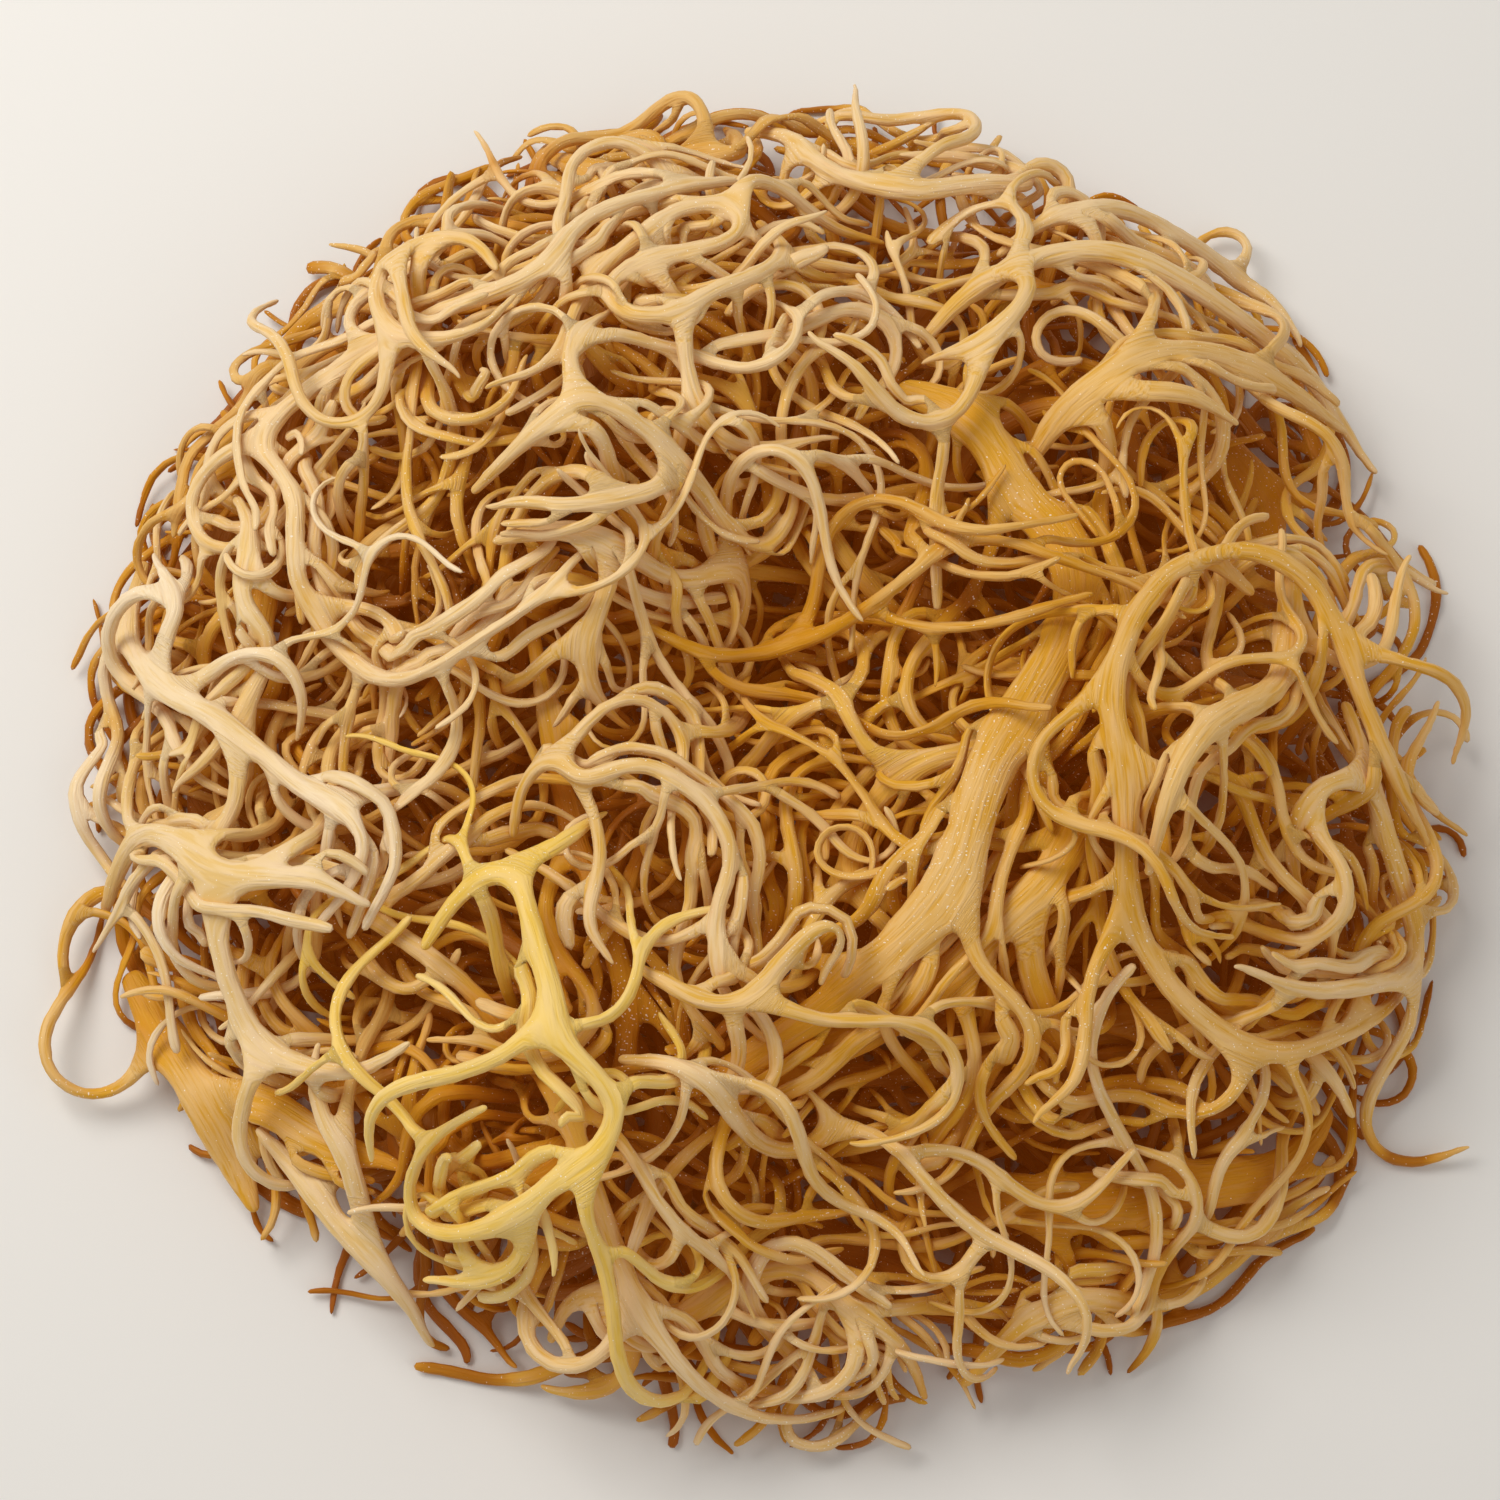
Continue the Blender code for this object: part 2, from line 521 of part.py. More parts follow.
# ---------------------------------------------------------------- pressing the strands apart
class Chain:
    """All strands as arrays of ring centres and of the segments between them."""

    def __init__(self, strands):
        centres, wide, thick, ease = [], [], [], []
        before, after = [], []
        begin_a, begin_b, finish, family, run = [], [], [], [], []
        for number, strand in enumerate(strands):
            strand.first = len(centres)
            last = strand.first + len(strand.centres) - 1
            for ring, centre in enumerate(strand.centres):
                spot = strand.first + ring
                centres.append(centre)
                wide.append(strand.wide[ring])
                thick.append(strand.thick[ring])
                ease.append(DRAWN_EASE if strand.order == 0 and strand.sprig.route else 1.0)
                before.append(max(spot - 1, strand.first))
                after.append(min(spot + 1, last))
                if ring:
                    begin_a.append(spot - 1)
                    begin_b.append(spot - 1)
                    finish.append(spot)
                    family.append(number)
            if strand.parent:
                base = strand.parent.first + strand.joint
                begin_a.append(base)
                begin_b.append(base + 1)
                finish.append(strand.first)
                family.append(number)
        self.spots = np.array(centres)
        self.home = self.spots.copy()
        self.wide = np.array(wide)
        self.thick = np.array(thick)
        self.ease = np.array(ease)
        self.before = np.array(before)
        self.after = np.array(after)
        self.begin_a = np.array(begin_a)
        self.begin_b = np.array(begin_b)
        self.finish = np.array(finish)
        self.family = np.array(family)
        branches = [strand for strand in strands if strand.parent]
        self.roots = np.array([strand.first for strand in branches])
        self.bases = np.array([strand.parent.first + strand.joint for strand in branches])
        self.strands = strands


def dot(a, b):
    return a[:, 0] * b[:, 0] + a[:, 1] * b[:, 1] + a[:, 2] * b[:, 2]


def unit(a):
    return a / np.maximum(np.sqrt(dot(a, a)), 1e-9)[:, None]


def cross(a, b):
    return np.stack([a[:, 1] * b[:, 2] - a[:, 2] * b[:, 1],
                     a[:, 2] * b[:, 0] - a[:, 0] * b[:, 2],
                     a[:, 0] * b[:, 1] - a[:, 1] * b[:, 0]], axis=1)


def near_pairs(chain):
    """Pairs of segments close enough to touch soon, without those joined at a fork."""
    start = 0.5 * (chain.spots[chain.begin_a] + chain.spots[chain.begin_b])
    end = chain.spots[chain.finish]
    middle = 0.5 * (start + end)
    ahead = end - start
    half = 0.5 * np.sqrt(dot(ahead, ahead)) + chain.wide[chain.finish]
    firsts, seconds = [], []
    for one in range(len(middle)):
        gap = middle[one + 1:] - middle[one]
        near = dot(gap, gap) < (half[one + 1:] + half[one] + LOOK_MARGIN) ** 2
        found = np.nonzero(near)[0] + one + 1
        firsts.append(np.full(len(found), one))
        seconds.append(found)
    first, second = np.concatenate(firsts), np.concatenate(seconds)
    return keep_unjoined(chain, first, second)


def keep_unjoined(chain, first, second):
    """Drop pairs of segments that follow each other on a strand or meet at a fork."""
    ring_a, ring_b = chain.finish[first], chain.finish[second]
    own_a, own_b = chain.family[first], chain.family[second]
    same = (own_a == own_b) & (np.abs(ring_a - ring_b) <= 2)
    joined = np.zeros(len(first), bool)
    parent = np.full(len(chain.strands), -1)
    joint = np.zeros(len(chain.strands), int)
    start = np.array([strand.first for strand in chain.strands])
    index = {id(strand): number for number, strand in enumerate(chain.strands)}
    for number, strand in enumerate(chain.strands):
        if strand.parent:
            parent[number] = index[id(strand.parent)]
            joint[number] = strand.parent.first + strand.joint
    for branch, other, ring, far in ((own_a, own_b, ring_a, ring_b),
                                     (own_b, own_a, ring_b, ring_a)):
        at_root = ring - start[branch] <= 1
        on_parent = parent[branch] == other
        joined |= at_root & on_parent & (np.abs(far - joint[branch] - 0.5) <= 2.6)
    sibling = (parent[own_a] == parent[own_b]) & (parent[own_a] >= 0)
    close = np.abs(joint[own_a] - joint[own_b]) <= 1
    joined |= sibling & close & (ring_a - start[own_a] <= 0) & (ring_b - start[own_b] <= 0)
    keep = ~(same | joined)
    return first[keep], second[keep]


def closest(start_a, end_a, start_b, end_b):
    """Shares along two sets of segments at which they come closest."""
    way_a, way_b, between = end_a - start_a, end_b - start_b, start_a - start_b
    aa, ab, bb = dot(way_a, way_a), dot(way_a, way_b), dot(way_b, way_b)
    ac, bc = dot(way_a, between), dot(way_b, between)
    spread = aa * bb - ab * ab
    share_a = np.clip((ab * bc - ac * bb) / np.maximum(spread, 1e-6), 0.0, 1.0)
    share_b = np.clip((ab * share_a + bc) / np.maximum(bb, 1e-9), 0.0, 1.0)
    share_a = np.clip((ab * share_b - ac) / np.maximum(aa, 1e-9), 0.0, 1.0)
    return share_a, share_b


def section_axes(way):
    """The flat side and the upright direction of a strand that runs along way."""
    along = unit(way)
    upright = np.zeros_like(along)
    upright[:, 2] = 1.0
    upright = unit(upright - along * along[:, 2:3])
    return cross(upright, along), upright


def press_apart(chain, rounds, smoothing):
    """Move touching segments apart and spread each move along its strand."""
    for count in range(rounds):
        if count % LOOK_AGAIN == 0:
            first, second = near_pairs(chain)
        spots = chain.spots
        start = 0.5 * (spots[chain.begin_a] + spots[chain.begin_b])
        end = spots[chain.finish]
        share_a, share_b = closest(start[first], end[first], start[second], end[second])
        at_a = start[first] + (end[first] - start[first]) * share_a[:, None]
        at_b = start[second] + (end[second] - start[second]) * share_b[:, None]
        apart = at_a - at_b
        distance = np.sqrt(dot(apart, apart))
        lost = distance < 1e-4
        apart[lost] = (0.0, 0.0, 1.0)
        away = apart / np.where(lost, 1.0, distance)[:, None]
        side, upright = section_axes(end - start)
        need = np.full(len(first), GAP)
        for segment, share in ((first, share_a), (second, share_b)):
            ring, back = chain.finish[segment], chain.begin_a[segment]
            wide = chain.wide[back] * (1 - share) + chain.wide[ring] * share
            thick = chain.thick[back] * (1 - share) + chain.thick[ring] * share
            grown = chain.begin_a[segment] != chain.begin_b[segment]
            wide = np.where(grown, np.minimum(wide, 1.6 * chain.wide[ring] + 0.4), wide)
            need += wide * np.abs(dot(away, side[segment]))
            need += thick * np.abs(dot(away, upright[segment]))
        short = np.maximum(need - distance, 0.0)
        touch = short > 0
        move = np.zeros_like(spots)
        weight = np.zeros(len(spots))
        push = away[touch] * (0.5 * short[touch])[:, None]
        for segment, share, sign in ((first[touch], share_a[touch], 1.0),
                                     (second[touch], share_b[touch], -1.0)):
            for ring, part in ((chain.begin_a[segment], 0.5 * (1 - share)),
                               (chain.begin_b[segment], 0.5 * (1 - share)),
                               (chain.finish[segment], share)):
                np.add.at(move, ring, push * (sign * part)[:, None])
                np.add.at(weight, ring, part * part)
        moved = spots + 1.2 * move / np.maximum(weight, 0.7)[:, None] * chain.ease[:, None]
        drift = moved - chain.home
        spread = 0.5 * (drift[chain.before] + drift[chain.after])
        drift = drift + smoothing * (spread - drift)
        base = 0.5 * (drift[chain.bases] + drift[chain.bases + 1])
        drift[chain.roots] = 0.5 * (drift[chain.roots] + base)
        spots = chain.home + drift
        spots[:, 2] = np.maximum(spots[:, 2], chain.thick)
        chain.spots = np.round(spots, 4)


# ---------------------------------------------------------------- skins
def ring_corners(centres, wide, thick):
    """Four corners of the strand's section at each ring, in order round its direction."""
    corners = []
    upright = Vector((0.0, 0.0, 1.0))
    last = len(centres) - 1
    for ring, centre in enumerate(centres):
        along = (centres[min(ring + 1, last)] - centres[max(ring - 1, 0)]).normalized()
        lean = Vector((0.0, 0.0, 1.0)) - along * along.z
        keep = upright - along * upright.dot(along)
        upright = (lean * lean.length + keep * (1.0 - lean.length)).normalized()
        side = upright.cross(along)
        flat, tall = side * wide[ring], upright * thick[ring]
        corners.append([centre + flat + tall, centre - flat + tall,
                        centre - flat - tall, centre + flat - tall])
    return corners


def skin(strands):
    """One closed mesh of quads: each branch is drawn out of a side face of its parent."""
    verts, faces, makers, walls = [], {}, {}, {}
    for strand in strands:
        corners = ring_corners(strand.centres, strand.wide, strand.thick)
        rings = []
        for ring in corners:
            rings.append(range(len(verts), len(verts) + 4))
            verts.extend(ring)
        if strand.parent:
            wall = pick_wall(strand, walls, verts, faces, corners[0])
            if wall is None:
                strand.dropped = True
                del verts[rings[0][0]:]
                continue
            base = faces.pop(wall)
            turn = min(range(4), key=lambda t: sum(
                (verts[base[(q + t) % 4]] - corners[0][q]).length_squared for q in range(4)))
            rings.insert(0, [base[(q + turn) % 4] for q in range(4)])
        else:
            cap = list(reversed(rings[0]))
            faces[len(makers)] = cap
            makers[len(makers)] = strand
        for ring, (back, front) in enumerate(zip(rings, rings[1:])):
            for q in range(4):
                p = (q + 1) % 4
                number = len(makers)
                faces[number] = [back[q], back[p], front[p], front[q]]
                makers[number] = strand
                segment = ring - 1 if strand.parent else ring
                walls[(id(strand), segment, q)] = number
        faces[len(makers)] = list(rings[-1])
        makers[len(makers)] = strand
    return verts, faces, makers


def pick_wall(strand, walls, verts, faces, first_ring):
    """The free face of the parent's segment that best faces the branch."""
    goal = sum(first_ring, Vector()) / 4
    flat = strand.parent.wide[strand.joint] > 1.9 * strand.parent.thick[strand.joint]
    best = None
    for q in range(4):
        number = walls.get((id(strand.parent), strand.joint, q))
        if number not in faces or (flat and q in (0, 2)):
            continue
        a, b, c, d = (verts[spot] for spot in faces[number])
        normal = (c - a).cross(d - b).normalized()
        facing = normal.dot((goal - (a + b + c + d) / 4).normalized())
        if facing > 0.1 and (best is None or facing > best[0]):
            best = (facing, number)
    return best and best[1]


def find_crossings(skins):
    """Pairs of strands whose skins cross, from one tree of all the triangles."""
    verts, triangles, makers = [], [], []
    for group, faces, owners in skins:
        base = len(verts)
        verts.extend(group)
        for number, (a, b, c, d) in faces.items():
            for triangle in ((a, b, c), (a, c, d)):
                triangles.append([spot + base for spot in triangle])
                makers.append(owners[number])
    tree = BVHTree.FromPolygons([tuple(vert) for vert in verts], triangles, epsilon=0.0)
    pairs = []
    for one, two in tree.overlap(tree):
        if one < two and not set(triangles[one]) & set(triangles[two]):
            pairs.append((makers[one], makers[two]))
    return pairs


def drop_crossing(strands):
    """Skin the sprigs, dropping the finer strand of each crossing pair and what it carries."""
    while True:
        sprigs = {}
        for strand in strands:
            sprigs.setdefault(strand.sprig.name, []).append(strand)
        skins = {name: skin(group) for name, group in sprigs.items()}
        place = {id(strand): number for number, strand in enumerate(strands)}
        for one, two in find_crossings(skins.values()):
            if not (one.dropped or two.dropped):
                later = max(one, two, key=lambda strand: (strand.order, place[id(strand)]))
                later.dropped = True
        for strand in strands:
            if strand.parent and strand.parent.dropped:
                strand.dropped = True
        kept = [strand for strand in strands if not strand.dropped]
        if len(kept) == len(strands):
            return skins
        strands = kept


# ---------------------------------------------------------------- materials and objects
COLOURS = {
    "cream": (0.83, 0.62, 0.30),
    "gold": (0.68, 0.40, 0.10),
    "amber": (0.46, 0.21, 0.04),
    "yellow": (0.80, 0.58, 0.16),
    "pale": (0.86, 0.72, 0.48),
}
ROUGHNESS = 0.5


def make_material(name, colour):
    """A dried sea moss colour as a plain Principled material."""
    material = bpy.data.materials.new(name)
    material.use_nodes = True
    shader = material.node_tree.nodes["Principled BSDF"]
    shader.inputs["Base Color"].default_value = (*colour, 1.0)
    shader.inputs["Roughness"].default_value = ROUGHNESS
    shader.inputs["Metallic"].default_value = 0.0
    return material


def make_sprig(name, verts, faces, middle, material):
    """One sprig as an object, its clump centred and flattened where it lies on the ground."""
    points = [((vert.x - middle.x) * MM, (vert.y - middle.y) * MM, max(vert.z - SINK, 0.0) * MM)
              for vert in verts]
    mesh = bpy.data.meshes.new(name)
    mesh.from_pydata(points, [], faces)
    mesh.materials.append(material)
    mesh.shade_smooth()
    bpy.context.collection.objects.link(bpy.data.objects.new(name, mesh))


def main():
    for thing in list(bpy.data.objects):
        bpy.data.objects.remove(thing)
    strands = lay_heap()
    chain = Chain(strands)
    press_apart(chain, PRESS_ROUNDS, PRESS_SPREAD)
    press_apart(chain, SETTLE_ROUNDS, SETTLE_SPREAD)
    for strand in strands:
        spots = chain.spots[strand.first:strand.first + len(strand.centres)]
        strand.centres = [Vector(spot) for spot in spots.tolist()]
    skins = drop_crossing(strands)
    everything = [vert for verts, _, _ in skins.values() for vert in verts]
    lowest = Vector([min(vert[axis] for vert in everything) for axis in range(3)])
    highest = Vector([max(vert[axis] for vert in everything) for axis in range(3)])
    middle = 0.5 * (lowest + highest)
    materials = {colour: make_material(colour, COLOURS[colour]) for colour in COLOURS}
    for name, (verts, faces, makers) in skins.items():
        material = materials[makers[0].sprig.colour]
        make_sprig(name, verts, list(faces.values()), middle, material)


main()
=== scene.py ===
# %% [markdown]
# # A clump of dried golden sea moss
#
# The clump is a heap of separate dried plants. Each plant is a main axis that forks into
# curling branches, as thin as cooked noodles, hooked into its neighbours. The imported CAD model
# holds the main axes and the first branches of every plant, so it is loaded first and its box
# is kept: the finished clump has to stay as large as that.

# %% Load the frame
import json
import math
import random
from collections import namedtuple

import bpy
import numpy as np
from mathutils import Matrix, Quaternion, Vector, noise
from mathutils.bvhtree import BVHTree

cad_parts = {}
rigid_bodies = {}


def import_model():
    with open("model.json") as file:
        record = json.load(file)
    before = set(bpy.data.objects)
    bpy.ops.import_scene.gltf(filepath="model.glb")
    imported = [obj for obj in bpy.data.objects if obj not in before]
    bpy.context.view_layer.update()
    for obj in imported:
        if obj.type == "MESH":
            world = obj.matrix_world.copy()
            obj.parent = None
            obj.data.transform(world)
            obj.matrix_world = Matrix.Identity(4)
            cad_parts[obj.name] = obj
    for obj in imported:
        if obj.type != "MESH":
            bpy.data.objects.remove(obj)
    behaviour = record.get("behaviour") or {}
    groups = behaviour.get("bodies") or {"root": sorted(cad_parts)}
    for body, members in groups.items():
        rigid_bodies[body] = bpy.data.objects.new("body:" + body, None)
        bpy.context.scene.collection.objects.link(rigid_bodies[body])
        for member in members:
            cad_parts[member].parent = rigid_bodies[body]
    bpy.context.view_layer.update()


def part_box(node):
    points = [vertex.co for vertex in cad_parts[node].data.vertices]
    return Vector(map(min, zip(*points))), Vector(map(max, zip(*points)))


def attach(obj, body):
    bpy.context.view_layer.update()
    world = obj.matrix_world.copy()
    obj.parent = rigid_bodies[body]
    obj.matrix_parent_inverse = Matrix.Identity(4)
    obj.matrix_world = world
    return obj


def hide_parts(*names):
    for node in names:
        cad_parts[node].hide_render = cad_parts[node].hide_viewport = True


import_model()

# %% [markdown]
# ## Laying the strands
#
# A fine strand can't be raised out of a finished mesh of triangles without knowing where the
# axis of the strand under it runs. That axis could be measured from the mesh, but the rule that
# laid the CAD strands is short and seeded, so the same rule is run again. It works in
# millimetres and gives the same centre lines, from which the fine branches then grow.
#
# First the sizes, and the height of the heap over any point of the ground.

# %% Sizes of the heap and its strands
MM = 0.001
HEAP_RADIUS = 88.0
CROWN_HEIGHT = 38.0
RIM_HEIGHT = 5.0

# Where the heap swells above its dome or sinks below it: x, y, radius, height.
SWELLS = (
    (-36.0, 36.0, 28.0, 13.0),
    (58.0, -12.0, 22.0, 13.0),
    (50.0, 48.0, 22.0, 10.0),
    (-28.0, -56.0, 20.0, 13.0),
    (-70.0, -22.0, 18.0, 10.0),
    (28.0, -12.0, 20.0, 6.0),
    (0.0, 8.0, 15.0, -18.0),
    (6.0, -62.0, 14.0, -14.0),
    (-61.0, -1.0, 11.0, -16.0),
)
# Ring spacing along a drawn axis. A drawn strand under FINE_WIDTH gets the curl's.
AXIS_STEP = 5.4
CURL_STEP = 4.3
FINE_WIDTH = 2.5
# How far apart branches leave a drawn strand, and how they lie to it: how far their layer is
# below or above the parent's, the angle between them, and the room kept free at the fork.
TOP_EVERY = 21.0
BRANCH_LAYER = (-0.4, 0.15)
LEAN = (0.75, 1.25)
FORK_CLEAR = 1.9
# The most that a path turns in one step and climbs, the thickest main axis laid by rule, and
# the lowest centre of a ring.
SHARPEST_TURN = 0.72
STEEPEST_CLIMB = 0.85
THICKEST = 2.8
LOWEST = 1.2
# How the random draws start, how many paths are tried for a branch, the turn from one main
# axis to the next, and the cells in which strands are counted.
SEED = 2118
TRIES = 10
GOLDEN_ANGLE = math.radians(137.5)
COVER_CELL = 4.0
# Pressing apart: the air kept between strands, and how long and how softly they are moved.
GAP = 0.34
PRESS_ROUNDS = 260
PRESS_SPREAD = 0.25
SETTLE_ROUNDS = 60
SETTLE_SPREAD = 0.06
LOOK_AGAIN = 20
LOOK_MARGIN = 3.0
DRAWN_EASE = 0.25

# How far the heap's weight flattens the strands that lie on the ground.
SINK = 0.3


def heap_height(x, y, swells=SWELLS):
    """The height of the heap's top over a point of the ground."""
    reach = min(1.0, math.hypot(x, y) / HEAP_RADIUS)
    rise = CROWN_HEIGHT - RIM_HEIGHT
    for swell_x, swell_y, radius, height in swells:
        away = ((x - swell_x) ** 2 + (y - swell_y) ** 2) / radius ** 2
        rise += height * math.exp(-away)
    return RIM_HEIGHT + rise * math.sqrt(1.0 - reach * reach)


print("height of the heap over its middle:", round(heap_height(0, 0), 1), "mm")


# %% What a strand and a plant are
class Strand:
    """One axis or branch: its ring centres, half sizes, and the strand that it grows from."""

    def __init__(self, sprig, centres, wide, thick, parent=None, joint=0, order=0):
        self.sprig = sprig
        self.centres = centres
        self.wide = wide
        self.thick = thick
        self.parent = parent
        self.joint = joint
        self.order = order
        self.first = 0
        self.dropped = False
        self.forks = set()
        if parent:
            parent.forks.add(joint)


class Sprig:
    """One plant: its name, the route and size of its main axis, and how it branches."""

    def __init__(self, name, width, thickness, route, limbs=(), colour="amber", every=TOP_EVERY,
                 step=AXIS_STEP):
        self.name = name
        self.width = width
        self.thickness = thickness
        self.route = route
        self.limbs = limbs
        self.colour = colour
        self.every = every
        self.step = step


# How a kind of branch grows: its order, the range of its length, half width and curl radius,
# how much it rises and falls, its tip, and the step between its rings.
Habit = namedtuple("Habit", "order reach half bend wave tip step")
BRANCH = Habit(1, (22.0, 50.0), (0.78, 1.02), (4.6, 11.0), 4.0, 0.45, 4.7)

# Plants laid by rule: how many, their length, the ranges of width, layer in the heap and curl
# radius, how much they rise and fall, how far apart they branch, and the step between rings.
Ruled = namedtuple("Ruled", "count length widths layers bend wave every step")
BED = Ruled(12, 150.0, (4.5, 7.5), (0.0, 0.4), (30.0, 90.0), 0.6, 32.0, 8.2)
FILL = Ruled(8, 110.0, (2.4, 3.6), (0.35, 0.85), (14.0, 40.0), 3.0, 22.0, AXIS_STEP)
